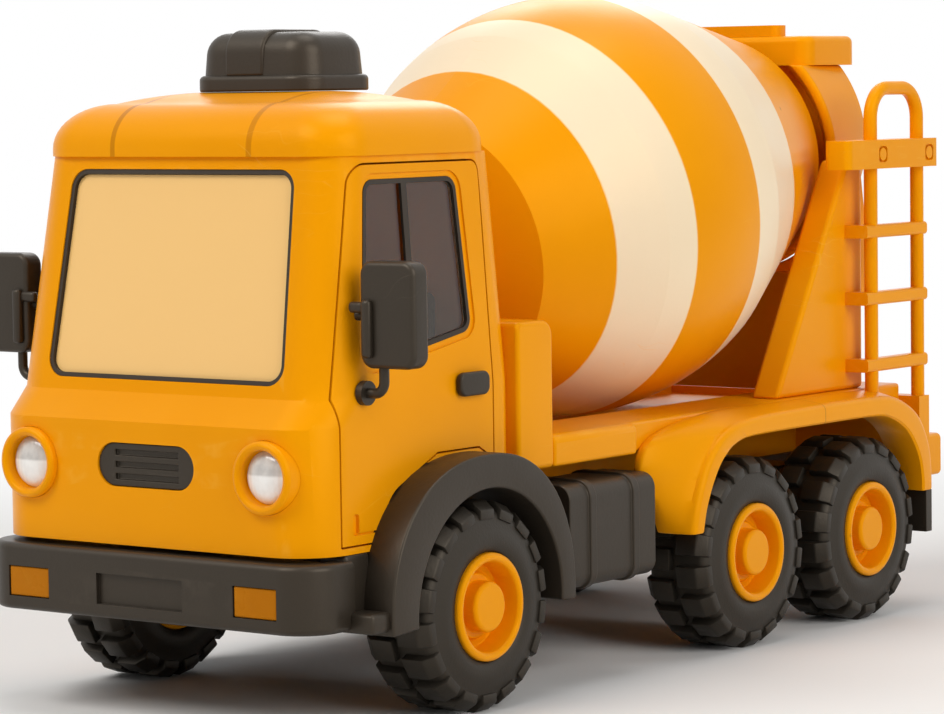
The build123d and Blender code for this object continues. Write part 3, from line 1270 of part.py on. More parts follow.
def make_chute():
    """Half-round discharge chute that swivels on the tail post."""
    slope = radians(CHUTE_SLOPE)
    direction = Vector(0, cos(slope), -sin(slope))
    start = Vector(0, FRONT_AXLE_Y + REAR_REACH, CHUTE_LIP_Z) - direction * CHUTE_LENGTH
    section = Plane(origin=start, x_dir=(-1, 0, 0), z_dir=direction)
    with BuildPart() as chute:
        with BuildSketch(Plane.XY.offset(CHUTE_PIVOT_Z + PIVOT_GAP)):
            with Locations((0, CHUTE_PIVOT_Y)):
                Circle(6.0)
        extrude(amount=12)
        with BuildSketch(section):
            Circle(CHUTE_RADIUS)
            with Locations((0, CHUTE_RADIUS)):
                Rectangle(2 * CHUTE_RADIUS, 2 * CHUTE_RADIUS, mode=Mode.SUBTRACT)
        extrude(amount=CHUTE_LENGTH)
        with BuildSketch(section):
            Circle(CHUTE_RADIUS - CHUTE_WALL)
        extrude(amount=CHUTE_LENGTH, mode=Mode.SUBTRACT)
        with BuildSketch(Plane.XY.offset(CHUTE_PIVOT_Z)):
            with Locations((0, CHUTE_PIVOT_Y)):
                Circle(PIVOT_RADIUS + BEARING_PLAY)
        extrude(amount=PIN_HEIGHT + PIVOT_GAP, mode=Mode.SUBTRACT)
    save(chute.part, "chute")


make_chassis()
make_wheels()
make_cab_shell()
make_roof()
make_windscreen()
make_doors()
make_mirrors()
make_interior()
make_front()
make_front_fenders()
make_beacon()
make_back_box()
make_deck()
make_rear_fenders()
make_tanks()
make_drum()
make_front_pedestal()
make_collar()
make_hopper()
make_pedestals()
make_ladder()
make_tail()
make_chute()
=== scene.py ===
"""Looks of a moulded toy concrete mixer truck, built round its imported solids.

Each sub-assembly is a class with its sizes as fields and methods that model and dress it.
Sizes of shapes are millimetres and angles degrees. Materials, lamps and the camera use metres.
-Y is the front, +X the truck's left side and Z = 0 the ground.
"""

import json
import logging
from dataclasses import dataclass, field
from enum import Enum
from math import cos, pi, radians, sin, sqrt
from typing import Callable, Dict, List, Optional, Sequence, Tuple

import bpy
from mathutils import Matrix, Vector

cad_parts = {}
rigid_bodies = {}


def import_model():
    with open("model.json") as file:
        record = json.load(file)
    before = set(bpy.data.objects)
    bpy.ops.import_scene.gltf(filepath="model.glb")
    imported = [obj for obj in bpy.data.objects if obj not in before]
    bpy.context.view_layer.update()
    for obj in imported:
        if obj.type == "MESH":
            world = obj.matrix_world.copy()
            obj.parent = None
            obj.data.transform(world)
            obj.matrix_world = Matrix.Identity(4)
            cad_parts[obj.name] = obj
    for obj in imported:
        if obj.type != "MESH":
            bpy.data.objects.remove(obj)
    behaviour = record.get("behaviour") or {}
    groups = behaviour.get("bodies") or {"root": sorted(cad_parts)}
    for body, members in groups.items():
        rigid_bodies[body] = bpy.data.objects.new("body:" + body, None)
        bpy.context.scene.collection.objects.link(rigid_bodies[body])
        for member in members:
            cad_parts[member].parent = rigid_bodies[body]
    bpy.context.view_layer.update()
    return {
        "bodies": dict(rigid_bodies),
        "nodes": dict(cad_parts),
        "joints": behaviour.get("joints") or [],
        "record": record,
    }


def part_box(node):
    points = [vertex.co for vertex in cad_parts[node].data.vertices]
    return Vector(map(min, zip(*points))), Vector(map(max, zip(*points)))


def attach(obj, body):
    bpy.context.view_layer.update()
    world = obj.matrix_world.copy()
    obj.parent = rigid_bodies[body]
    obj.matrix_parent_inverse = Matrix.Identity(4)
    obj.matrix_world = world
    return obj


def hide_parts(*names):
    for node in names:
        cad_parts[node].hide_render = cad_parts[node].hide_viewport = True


log = logging.getLogger("mixer_truck")

MM = 0.001
TINY = 1e-5
MERGE = 0.001
FACING = 0.9
SOFT_ANGLE = 35.0
FRAME_SIZE = (944, 714)
SIDES = ("left", "right")
AXLES = ("front", "mid", "rear")

Colour = Tuple[float, float, float]
Point = Tuple[float, float, float]
Span = Tuple[float, float]
Line = Tuple[Span, ...]
Piece = bpy.types.Object
Material = bpy.types.Material
Node = bpy.types.Node
Socket = bpy.types.NodeSocket


class Slot(Enum):
    """Material slots of the record that the truck's pieces take their finish from."""

    BODY = "body_yellow"
    DRUM = "drum_striped"
    TRIM = "trim_charcoal"
    TYRE = "tyre_rubber"
    SEAL = "seal_black"
    SCREEN = "screen_cream"
    WINDOW = "window_tint"
    LAMP = "lamp_white"
    AMBER = "lamp_amber"


@dataclass(frozen=True)
class Plastic:
    """A moulded plastic or rubber finish.

    The base colour shifts towards the tone colour in soft clouds and towards the worn colour on
    edges and in fine scratches. Nicks turn to a dark share of the tone as grime, and creases turn
    to the same dark colour as painted shade.
    """

    name: str
    base: Colour
    tone: Colour
    worn: Colour
    roughness: float = 0.35
    coat: float = 0.0
    coat_roughness: float = 0.16
    shine: float = 0.5
    gleam: Colour = (1.0, 0.86, 0.7)
    cloud_scale: float = 18.0
    cloud_share: float = 0.2
    cloud_dulling: float = 0.1
    wear: float = 0.18
    wear_scale: float = 160.0
    # dark share of the tone: grime in nicks, and painted shade in creases
    grime_and_crease_shade: float = 0.35
    # how far creases darken towards that dark colour: painted shade
    crease_shade: float = 0.35
    scratch: float = 0.25
    scratch_light: float = 0.5
    scratch_dulling: float = 0.3
    scratch_depth: float = 0.5
    grain_scale: float = 900.0
    grain_depth: float = 0.12
    grain_height: float = 0.0006


@dataclass(frozen=True)
class Patches:
    """Soft patches of noise: scale, detail, and the values that they fade in between."""

    scale: float
    detail: float
    low: float
    high: float


@dataclass(frozen=True)
class Glaze:
    """A clear, milky or silvered finish whose patches shift between two tones.

    The extras are the shader's other inputs with their values. A lens that is greyer above its
    middle gives the two tones of that part as dim.
    """

    name: str
    patches: Patches
    plain: Colour
    hazed: Colour
    roughness: float
    haze_dulling: float
    extras: Tuple[Tuple[str, float], ...]
    dim: Optional[Tuple[Colour, Colour]] = None


@dataclass(frozen=True)
class Band:
    """One coloured band of the drum, starting at a station along its axis in millimetres."""

    start: float
    pale: bool


BODY_FINISH = Plastic(
    "body_plastic", (0.88, 0.335, 0.001), (0.76, 0.255, 0.001), (0.95, 0.52, 0.08),
    roughness=0.3, shine=0.28, gleam=(1.0, 0.55, 0.08), scratch=0.7,
)
TRIM_FINISH = Plastic(
    "trim_plastic", (0.022, 0.017, 0.012), (0.014, 0.011, 0.008), (0.11, 0.09, 0.07),
    roughness=0.36, shine=0.4, wear=0.15, scratch=0.35, grain_depth=0.2,
)
TYRE_FINISH = Plastic(
    "tyre_rubber", (0.012, 0.01, 0.0075), (0.008, 0.007, 0.005), (0.07, 0.06, 0.045),
    roughness=0.44, shine=0.42, wear=0.4, scratch=0.2, grain_scale=1400.0, grain_depth=0.3,
)
SEAL_FINISH = Plastic(
    "seal_rubber", (0.014, 0.009, 0.006), (0.008, 0.006, 0.004), (0.04, 0.03, 0.02),
    roughness=0.5, wear=0.1, scratch=0.1,
)
SCREEN_FINISH = Plastic(
    "screen_cream", (0.92, 0.575, 0.205), (0.87, 0.52, 0.17), (0.95, 0.7, 0.38),
    roughness=0.3, coat=0.2, cloud_scale=9.0, wear=0.05, scratch=0.08, grain_depth=0.03,
)
AMBER_FINISH = Plastic(
    "indicator_amber", (0.46, 0.15, 0.001), (0.34, 0.1, 0.001), (0.6, 0.26, 0.02),
    roughness=0.26, shine=0.3, gleam=(1.0, 0.5, 0.05), cloud_scale=60.0, wear=0.2, scratch=0.15,
    grain_scale=500.0,
)
WINDOW_GLAZE = Glaze(
    "smoked_window", Patches(30.0, 3.0, 0.3, 0.75), (0.62, 0.5, 0.36), (0.54, 0.42, 0.29),
    0.0, 0.08, (("Transmission Weight", 1.0), ("IOR", 1.45)))
LENS_GLAZE = Glaze(
    "milky_lens", Patches(260.0, 3.0, 0.3, 0.7), (0.86, 0.85, 0.83), (0.93, 0.92, 0.9),
    0.14, 0.12, (("Coat Weight", 0.8), ("Coat Roughness", 0.04)),
    dim=((0.5, 0.48, 0.46), (0.66, 0.64, 0.61)))
MIRROR_GLAZE = Glaze(
    "mirror_plate", Patches(90.0, 4.0, 0.4, 0.8), (0.82, 0.84, 0.85), (0.7, 0.71, 0.71),
    0.03, 0.08, (("Metallic", 1.0),))
PALE_BAND: Colour = (0.93, 0.775, 0.555)
PALE_TONE: Colour = (0.87, 0.69, 0.46)
BAND_LINE: Colour = (0.98, 0.78, 0.45)
SEAM_LINE: Colour = (0.36, 0.11, 0.001)
LINE_SHARE = 0.55


class NodeSheet:
    """A node tree with short calls to add nodes and join their sockets."""

    def __init__(self, tree: bpy.types.NodeTree) -> None:
        """Keep the tree that the nodes go into."""
        self.tree = tree

    def feed(self, socket: Socket, value: object) -> None:
        """Join an output socket to an input, or set the input's value.

        Args:
            socket: the input.
            value: an output socket, a number, a vector or a colour.
        """
        if isinstance(value, Socket):
            self.tree.links.new(value, socket)
        elif socket.type == "RGBA":
            socket.default_value = (*value, 1.0)
        else:
            socket.default_value = value

    def fill(self, node: Node, **sockets: object) -> None:
        """Feed several inputs of a node.

        Args:
            node: the node.
            sockets: what each input takes, by its name with _ for a space.
        """
        for key, value in sockets.items():
            self.feed(node.inputs[key.replace("_", " ")], value)

    def node(self, kind: str, settings: Optional[Dict[str, object]] = None,
             **sockets: object) -> Node:
        """Add a node.

        Args:
            kind: Blender's type name of the node, without its ShaderNode prefix.
            settings: attributes of the node itself.
            sockets: what each input takes, by its name with _ for a space.

        Returns:
            The new node.
        """
        made = self.tree.nodes.new(f"ShaderNode{kind}")
        for key, value in (settings or {}).items():
            setattr(made, key, value)
        self.fill(made, **sockets)
        return made

    def sums(self, kind: str, operation: str, *values: object) -> Node:
        """Add a node that works on its inputs in order.

        Args:
            kind: Math or VectorMath.
            operation: the node's operation.
            values: what the inputs take.

        Returns:
            The new node.
        """
        made = self.node(kind, {"operation": operation})
        for socket, value in zip(made.inputs, values):
            self.feed(socket, value)
        return made

    def maths(self, operation: str, *values: object) -> Socket:
        """Work on numbers and return the result."""
        return self.sums("Math", operation, *values).outputs[0]

    def times(self, first: object, second: object) -> Socket:
        """Multiply two numbers."""
        return self.maths("MULTIPLY", first, second)

    def place(self) -> Socket:
        """Object coordinates of the piece."""
        return self.node("TexCoord").outputs["Object"]

    def mix(self, share: object, first: object, second: object) -> Socket:
        """Mix two colours.

        Args:
            share: share of the second colour.
            first: a colour.
            second: another colour.

        Returns:
            The mixed colour.
        """
        made = self.node("Mix", {"data_type": "RGBA"})
        for index, value in ((0, share), (6, first), (7, second)):
            self.feed(made.inputs[index], value)
        return made.outputs[2]

    def ramp(self, value: object, low: float, high: float) -> Socket:
        """Map a value smoothly from 0 at low to 1 at high."""
        smooth = {"interpolation_type": "SMOOTHSTEP"}
        return self.node("MapRange", smooth, Value=value, From_Min=low, From_Max=high).outputs[0]

    def fall(self, value: object, low: float, high: float) -> Socket:
        """Map a value smoothly from 1 at low to 0 at high."""
        return self.maths("SUBTRACT", 1.0, self.ramp(value, low, high))

    def noise(self, place: object, scale: object, detail: float) -> Socket:
        """Value of a noise texture."""
        return self.node("TexNoise", Vector=place, Scale=scale, Detail=detail).outputs[0]

    def patches(self, place: object, patches: Patches) -> Socket:
        """Value of soft patches, from 0 to 1."""
        value = self.noise(place, patches.scale, patches.detail)
        return self.ramp(value, patches.low, patches.high)

    def bump(self, height: object, strength: float, distance: float) -> Socket:
        """Normal of a height, over a distance in metres."""
        return self.node("Bump", Height=height, Strength=strength, Distance=distance).outputs[0]

    def blend(self, share: object, first: Node, second: Node) -> Socket:
        """Blend two shaders.

        Args:
            share: share of the second shader.
            first: a shader.
            second: another shader.

        Returns:
            The blended shader.
        """
        made = self.node("MixShader", Fac=share)
        self.feed(made.inputs[1], first.outputs[0])
        self.feed(made.inputs[2], second.outputs[0])
        return made.outputs[0]


@dataclass
class SurfaceGroups:
    """Shader node groups for the effects that several finishes share."""

    edges: Span = (0.59, 0.68)
    # pointiness range over which creases take painted shade
    crease_shade_span: Span = (0.3, 0.44)
    worn_patches: Span = (0.42, 0.66)
    clouds: Span = (0.35, 0.7)
    ripple_scale: float = 120.0
    ripple_share: float = 0.65
    drift_scale: float = 40.0
    drift: float = 0.02
    stretch: Point = (1.0, 1.0, 7.0)
    slant: Point = (0.6, 0.4, 0.3)
    hair_scale: float = 22.0
    hair_width: float = 0.012
    hair_patches: Patches = Patches(26.0, 3.0, 0.6, 0.72)
    nick_scale: float = 110.0
    nick_size: Span = (0.05, 0.13)
    nick_patches: Patches = Patches(45.0, 2.0, 0.66, 0.7)

    def __post_init__(self) -> None:
        """Build each group once."""
        # this group gives both the edge wear mask and the painted crease shade
        self.wear = self.edge_wear_and_crease_shade()
        self.grain = self.moulded_grain()
        self.scratches = self.fine_scratches()

    def start(self, name: str, inputs: Sequence[str],
              outputs: Sequence[str]) -> Tuple[NodeSheet, Node, Node]:
        """Make a group with float sockets, and a vector input that places its pattern.

        Args:
            name: the group's name.
            inputs: names of the float inputs.
            outputs: names of the float outputs.

        Returns:
            A sheet for the group's nodes, its input node and its output node.
        """
        group = bpy.data.node_groups.new(name, "ShaderNodeTree")
        group.interface.new_socket("Place", in_out="INPUT", socket_type="NodeSocketVector")
        for way, labels in (("INPUT", inputs), ("OUTPUT", outputs)):
            for label in labels:
                group.interface.new_socket(label, in_out=way, socket_type="NodeSocketFloat")
        return NodeSheet(group), group.nodes.new("NodeGroupInput"), group.nodes.new("NodeGroupOutput")

    def edge_wear_and_crease_shade(self) -> bpy.types.NodeTree:
        """Make a mask of worn convex edges, broken up by noise, and a mask of painted shade in
        creases.

        Returns:
            The group.
        """
        sheet, given, result = self.start("edge_wear_and_crease_shade", ("Amount", "Scale"), ("Mask", "Crease"))
        convex = sheet.node("NewGeometry").outputs["Pointiness"]
        noise = sheet.noise(given.outputs["Place"], given.outputs["Scale"], 5.0)
        mask = sheet.times(sheet.ramp(convex, *self.edges), sheet.ramp(noise, *self.worn_patches))
        mask = sheet.times(mask, given.outputs["Amount"])
        # painted shade: the more concave the surface, the stronger the mask
        sheet.fill(result, Mask=mask, Crease=sheet.fall(convex, *self.crease_shade_span))
        return sheet.tree

    def moulded_grain(self) -> bpy.types.NodeTree:
        """Make the height of fine grain over a slow ripple, and a slow cloud value.

        Returns:
            The group.
        """
        sheet, given, result = self.start(
            "moulded_grain", ("Grain Scale", "Cloud Scale"), ("Height", "Cloud"))
        place = given.outputs["Place"]
        fine = sheet.noise(place, given.outputs["Grain Scale"], 2.0)
        slow = sheet.noise(place, given.outputs["Cloud Scale"], 4.0)
        ripple = sheet.times(sheet.noise(place, self.ripple_scale, 2.0), self.ripple_share)
        height = sheet.maths("ADD", sheet.times(fine, 1 - self.ripple_share), ripple)
        sheet.fill(result, Height=height, Cloud=sheet.ramp(slow, *self.clouds))
        return sheet.tree

    def fine_scratches(self) -> bpy.types.NodeTree:
        """Make masks of short hairline scratches and of small nicks.

        Returns:
            The group.
        """
        sheet, given, result = self.start("fine_scratches", ("Amount",), ("Lines", "Nicks"))
        place, amount = given.outputs["Place"], given.outputs["Amount"]
        drift = sheet.node("TexNoise", Vector=place, Scale=self.drift_scale).outputs["Color"]
        bent = sheet.sums("VectorMath", "MULTIPLY_ADD", drift, (self.drift,) * 3, place).outputs[0]
        drawn = sheet.node("Mapping", Vector=bent, Scale=self.stretch, Rotation=self.slant).outputs[0]
        cells = sheet.node(
            "TexVoronoi", {"feature": "DISTANCE_TO_EDGE"}, Vector=drawn, Scale=self.hair_scale)
        hair = sheet.fall(cells.outputs["Distance"], 0.0, self.hair_width)
        spots = sheet.node("TexVoronoi", Vector=place, Scale=self.nick_scale)
        nick = sheet.fall(spots.outputs["Distance"], *self.nick_size)
        lines = sheet.times(hair, sheet.patches(place, self.hair_patches))
        nicks = sheet.times(nick, sheet.patches(place, self.nick_patches))
        sheet.fill(result, Lines=sheet.times(lines, amount), Nicks=sheet.times(nicks, amount))
        return sheet.tree


@dataclass
class DrumBands:
    """Stations of the drum's colour bands, and of the light line along each border."""

    origin: Point = (0.0, 0.003, 0.142)
    tilt: float = 10.0
    bands: Tuple[Band, ...] = (
        Band(-25.6, True), Band(3.1, False), Band(37.6, True), Band(80.5, False))
    line: float = 0.45
    line_core: float = 0.18
    edge: float = 0.12

    def station(self, sheet: NodeSheet, place: Socket) -> Socket:
        """Find the distance along the drum's axis from its origin, in millimetres.

        Args:
            sheet: the material's nodes.
            place: object coordinates.

        Returns:
            The distance.
        """
        axis = (0.0, cos(radians(self.tilt)), sin(radians(self.tilt)))
        shifted = sheet.sums("VectorMath", "SUBTRACT", place, self.origin).outputs[0]
        along = sheet.sums("VectorMath", "DOT_PRODUCT", shifted, axis).outputs["Value"]
        return sheet.times(along, 1 / MM)

    def masks(self, sheet: NodeSheet, place: Socket) -> Tuple[Socket, Socket]:
        """Make the masks of the drum's colours.

        Args:
            sheet: the material's nodes.
            place: object coordinates.

        Returns:
            Masks of the pale bands and of the light border lines.
        """
        station = self.station(sheet, place)
        pale: object = 0.0
        lines: object = 0.0
        for band in self.bands:
            step = sheet.ramp(station, band.start - self.edge, band.start + self.edge)
            pale = sheet.maths("ADD" if band.pale else "SUBTRACT", pale, step)
            off = sheet.maths("ABSOLUTE", sheet.maths("SUBTRACT", station, band.start))
            lines = sheet.maths("MAXIMUM", lines, sheet.fall(off, self.line_core, self.line))
        return pale, lines


@dataclass
class Finishes:
    """All materials of the truck, by record slot."""

    roof_seam_x: float = 0.027
    roof_seam_sway: float = 0.0012
    guard_seam_y: float = 0.0725
    seam_width: float = 0.0005
    sway_scale: float = 25.0
    lens_split: Span = (0.0762, 0.0772)
    flute_pitch: float = 0.0016
    flute_depth: float = 0.0003
    flute_strength: float = 0.1

    def __post_init__(self) -> None:
        """Build the shared groups and every material."""
        self.groups = SurfaceGroups()
        self.by_slot: Dict[str, Material] = {
            Slot.BODY.value: self.plastic(BODY_FINISH),
            Slot.DRUM.value: self.drum(DrumBands()),
            Slot.TRIM.value: self.plastic(TRIM_FINISH),
            Slot.TYRE.value: self.plastic(TYRE_FINISH),
            Slot.SEAL.value: self.plastic(SEAL_FINISH),
            Slot.SCREEN.value: self.plastic(SCREEN_FINISH),
            Slot.WINDOW.value: self.glazed(WINDOW_GLAZE),
            Slot.LAMP.value: self.glazed(LENS_GLAZE),
            Slot.AMBER.value: self.plastic(AMBER_FINISH),
        }
        self.mirror = self.glazed(MIRROR_GLAZE)
        self.roof = self.seamed("roof_plastic", "X", self.roof_seam_x, self.roof_seam_sway)
        self.guard = self.seamed("guard_plastic", "Y", self.guard_seam_y, 0.0)

    def sheet(self, name: str) -> Tuple[Material, NodeSheet, Node]:
        """Make a material.

        Args:
            name: its name.

        Returns:
            The material, a sheet for its nodes, and its Principled shader.
        """
        material = bpy.data.materials.new(name)
        material.use_nodes = True
        return material, NodeSheet(material.node_tree), material.node_tree.nodes["Principled BSDF"]

    def dress(self, sheet: NodeSheet, shader: Node, finish: Plastic,
              base: object, tone: object) -> None:
        """Feed a shader with cloudy colour, edge wear, painted shade in creases, scratches and grain.

        Args:
            sheet: the material's nodes.
            shader: the Principled shader.
            finish: the finish's values.
            base: main colour, as a colour or a socket.
            tone: cloud colour, as a colour or a socket.
        """
        place = sheet.place()
        grain, wear, marks = (
            sheet.node("Group", {"node_tree": group}, Place=place)
            for group in (self.groups.grain, self.groups.wear, self.groups.scratches))
        sheet.fill(grain, Grain_Scale=finish.grain_scale, Cloud_Scale=finish.cloud_scale)
        sheet.fill(wear, Amount=finish.wear, Scale=finish.wear_scale)
        sheet.fill(marks, Amount=finish.scratch)
        cloud, lines = grain.outputs["Cloud"], marks.outputs["Lines"]
        # dark colour: grime for the nicks, and painted shade for the creases
        grime_and_crease_shade = tuple(c * finish.grime_and_crease_shade for c in finish.tone)
        colour = sheet.mix(sheet.times(cloud, finish.cloud_share), base, tone)
        colour = sheet.mix(marks.outputs["Nicks"], colour, grime_and_crease_shade)
        # painted shade: concave creases darken towards the dark colour
        colour = sheet.mix(sheet.times(wear.outputs["Crease"], finish.crease_shade), colour, grime_and_crease_shade)
        light = sheet.maths("MAXIMUM", wear.outputs["Mask"], sheet.times(lines, finish.scratch_light))
        rough = sheet.maths("ADD", finish.roughness, sheet.times(cloud, finish.cloud_dulling))
        rough = sheet.maths("ADD", rough, sheet.times(lines, finish.scratch_dulling))
        carved = sheet.times(lines, finish.scratch_depth)
        height = sheet.maths("SUBTRACT", grain.outputs["Height"], carved)
        sheet.fill(
            shader, Base_Color=sheet.mix(light, colour, finish.worn), Roughness=rough,
            Normal=sheet.bump(height, finish.grain_depth, finish.grain_height),
            Specular_IOR_Level=finish.shine, Specular_Tint=finish.gleam,
            Coat_Weight=finish.coat, Coat_Roughness=finish.coat_roughness)

    def plastic(self, finish: Plastic) -> Material:
        """Make the material of a single-coloured moulded finish.

        Args:
            finish: the finish's values.

        Returns:
            The material.
        """
        material, sheet, shader = self.sheet(finish.name)
        self.dress(sheet, shader, finish, finish.base, finish.tone)
        return material

    def seamed(self, name: str, axis: str, seam: float, sway: float) -> Material:
        """Make body plastic with faint moulding seams at a distance either side of a plane.

        Args:
            name: the material's name.
            axis: the axis that the distance is measured along.
            seam: the distance.
            sway: how far the seams wander.

        Returns:
            The material.
        """
        material, sheet, shader = self.sheet(name)
        place = sheet.place()
        across = sheet.maths("ABSOLUTE", sheet.node("SeparateXYZ", Vector=place).outputs[axis])
        off = sheet.maths("ABSOLUTE", sheet.maths("SUBTRACT", across, seam))
        wander = sheet.times(sheet.noise(place, self.sway_scale, 1.0), sway)
        line = sheet.fall(sheet.maths("SUBTRACT", off, wander), 0.0, self.seam_width)
        base = sheet.mix(sheet.times(line, LINE_SHARE), BODY_FINISH.base, SEAM_LINE)
        self.dress(sheet, shader, BODY_FINISH, base, BODY_FINISH.tone)
        return material

    def drum(self, bands: DrumBands) -> Material:
        """Make the material of the striped drum, with light lines between its bands.

        Args:
            bands: the drum's bands.

        Returns:
            The material.
        """
        material, sheet, shader = self.sheet("drum_stripes")
        pale, lines = bands.masks(sheet, sheet.place())
        base = sheet.mix(pale, BODY_FINISH.base, PALE_BAND)
        base = sheet.mix(sheet.times(lines, LINE_SHARE), base, BAND_LINE)
        self.dress(sheet, shader, BODY_FINISH, base, sheet.mix(pale, BODY_FINISH.tone, PALE_TONE))
        return material

    def glazed(self, glaze: Glaze) -> Material:
        """Make a clear, milky or silvered material.

        Args:
            glaze: the finish's values.

        Returns:
            The material.
        """
        material, sheet, shader = self.sheet(glaze.name)
        patches = sheet.patches(sheet.place(), glaze.patches)
        colour = sheet.mix(patches, glaze.plain, glaze.hazed)
        if glaze.dim:
            colour = self.lens_colour(sheet, shader, colour, sheet.mix(patches, *glaze.dim))
        rough = sheet.maths("ADD", glaze.roughness, sheet.times(patches, glaze.haze_dulling))
        sheet.fill(shader, Base_Color=colour, Roughness=rough, **dict(glaze.extras))
        return material

    def lens_colour(self, sheet: NodeSheet, shader: Node, bright: Socket, dim: Socket) -> Socket:
        """Flute the headlamp lens and grey it above its middle.

        Args:
            sheet: the material's nodes.
            shader: the Principled shader.
            bright: colour below the middle.
            dim: colour above it.

        Returns:
            The lens's colour.
        """
        parts = sheet.node("SeparateXYZ", Vector=sheet.place()).outputs
        flutes = sheet.maths("SINE", sheet.times(parts["X"], 2 * pi / self.flute_pitch))
        sheet.fill(shader, Normal=sheet.bump(flutes, self.flute_strength, self.flute_depth))
        return sheet.mix(sheet.ramp(parts["Z"], *self.lens_split), bright, dim)


def upright(first: Vector, second: Vector) -> bool:
    """Whether two ends of an edge stand above each other."""
    return abs(first.z - second.z) > TINY


class Bench:
    """Modelling steps on one object, in millimetres, with faces and edges chosen in code."""

    @staticmethod
    def only(piece: Piece, *others: Piece) -> None:
        """Select objects and nothing else.

        Args:
            piece: the object to make active.
            others: more objects to select.
        """
        for selected in bpy.context.selected_objects:
            selected.select_set(False)
        for each in (piece, *others):
            each.select_set(True)
        bpy.context.view_layer.objects.active = piece

    @staticmethod
    def leave() -> None:
        """Leave edit mode."""
        bpy.ops.object.mode_set(mode="OBJECT")

    @staticmethod
    def settle(piece: Piece) -> None:
        """Put an object's place, turn and scale into its mesh."""
        Bench.only(piece)
        bpy.ops.object.transform_apply(location=True, rotation=True, scale=True)

    @staticmethod
    def block(size: Point, centre: Point) -> Piece:
        """Add a box.

        Args:
            size: its size.
            centre: its centre.

        Returns:
            The box.
        """
        bpy.ops.mesh.primitive_cube_add(size=1, location=[c * MM for c in centre])
        block = bpy.context.active_object
        block.scale = [c * MM for c in size]
        Bench.settle(block)
        return block

    @staticmethod
    def copied(mesh: bpy.types.Mesh, name: str) -> Piece:
        """Add an object with its own copy of a mesh.

        Args:
            mesh: the mesh.
            name: the object's name.

        Returns:
            The object.
        """
        piece = bpy.data.objects.new(name, mesh.copy())
        bpy.context.scene.collection.objects.link(piece)
        return piece

    @staticmethod
    def joined(piece: Piece, *others: Piece) -> None:
        """Join other objects to a piece."""
        Bench.only(piece, *others)
        bpy.ops.object.join()

    @staticmethod
    def faces(piece: Piece,
              wanted: Callable[[bpy.types.MeshPolygon], bool] = lambda face: True) -> None:
        """Select faces, and enter face mode.

        Args:
            piece: the object.
            wanted: a test of a face, which accepts every face where it isn't given.
        """
        Bench.only(piece)
        for part in (*piece.data.vertices, *piece.data.edges, *piece.data.polygons):
            part.select = False
        for face in piece.data.polygons:
            face.select = wanted(face)
        bpy.ops.object.mode_set(mode="EDIT")
        bpy.ops.mesh.select_mode(type="FACE")

    @staticmethod
    def edges(piece: Piece, wanted: Callable[[Vector, Vector], bool]) -> None:
        """Select edges, and enter edge mode.

        Args:
            piece: the object.
            wanted: a test of an edge's two ends.
        """
        Bench.only(piece)
        points = piece.data.vertices
        for part in (*points, *piece.data.polygons):
            part.select = False
        for edge in piece.data.edges:
            first, second = edge.vertices
            edge.select = wanted(points[first].co, points[second].co)
        bpy.ops.object.mode_set(mode="EDIT")
        bpy.ops.mesh.select_mode(type="EDGE")

    @staticmethod
    def round_edges(piece: Piece, wanted: Callable[[Vector, Vector], bool], radius: float,
                    segments: int) -> None:
        """Round chosen edges.

        Args:
            piece: the object.
            wanted: a test of an edge's two ends.
            radius: the rounding's size.
            segments: faces across it.
        """
        Bench.edges(piece, wanted)
        bpy.ops.mesh.bevel(offset=radius * MM, segments=segments, affect="EDGES")
        Bench.leave()

    @staticmethod
    def extrude(x: float, y: float, z: float) -> None:
        """Draw the selected faces out by a move."""
        bpy.ops.mesh.extrude_region_move(TRANSFORM_OT_translate={"value": (x * MM, y * MM, z * MM)})

    @staticmethod
    def inset(width: float, rise: float) -> None:
        """Inset the selected faces and raise them."""
        bpy.ops.mesh.inset(thickness=width * MM, depth=rise * MM)

    @staticmethod
    def bevel(piece: Piece, width: float, segments: int, angle: float = 32.0) -> None:
        """Round all edges sharper than an angle with an applied Bevel modifier.

        Args:
            piece: the object.
            width: the rounding's size.
            segments: faces across it.
            angle: the angle.
        """
        Bench.only(piece)
        rounding = piece.modifiers.new("rounding", "BEVEL")
        rounding.width = width * MM
        rounding.segments = segments
        rounding.limit_method = "ANGLE"
        rounding.angle_limit = radians(angle)
        rounding.use_clamp_overlap = True
        bpy.ops.object.modifier_apply(modifier=rounding.name)

    @staticmethod
    def done(piece: Piece, smooth: float = 40.0) -> Piece:
        """Leave edit mode and shade smooth.

        Args:
            piece: the object.
            smooth: the angle up to which faces blend.

        Returns:
            The object.
        """
        if bpy.context.mode != "OBJECT":
            Bench.leave()
        Bench.only(piece)
        bpy.ops.object.shade_smooth_by_angle(angle=radians(smooth))
        return piece


def tube(rows: Sequence[Sequence[Point]]) -> Piece:
    """Make a closed tube by setting the points of a grid in place.

    Args:
        rows: closed sections, all with as many points.

    Returns:
        The mesh object, with both ends filled, facing outwards.
    """
    width = len(rows[0]) + 1
    bpy.ops.mesh.primitive_grid_add(x_subdivisions=width - 1, y_subdivisions=len(rows) - 1)
    grid = bpy.context.active_object
    for index, point in enumerate(grid.data.vertices):
        row, column = divmod(index, width)
        point.co = Vector(rows[row][column % len(rows[0])]) * MM
    Bench.faces(grid)
    bpy.ops.mesh.remove_doubles(threshold=MERGE * MM)
    bpy.ops.mesh.fill_holes(sides=0)
    bpy.ops.mesh.normals_make_consistent(inside=False)
    Bench.leave()
    return grid


def mirrored(piece: Piece) -> Piece:
    """Copy a piece to the other side of the truck.

    Args:
        piece: the piece.

    Returns:
        The copy, facing outwards.
    """
    other = Bench.copied(piece.data, piece.name)
    other.data.transform(Matrix.Scale(-1, 4, (1, 0, 0)))
    Bench.faces(other)
    bpy.ops.mesh.normals_make_consistent(inside=False)
    return Bench.done(other)


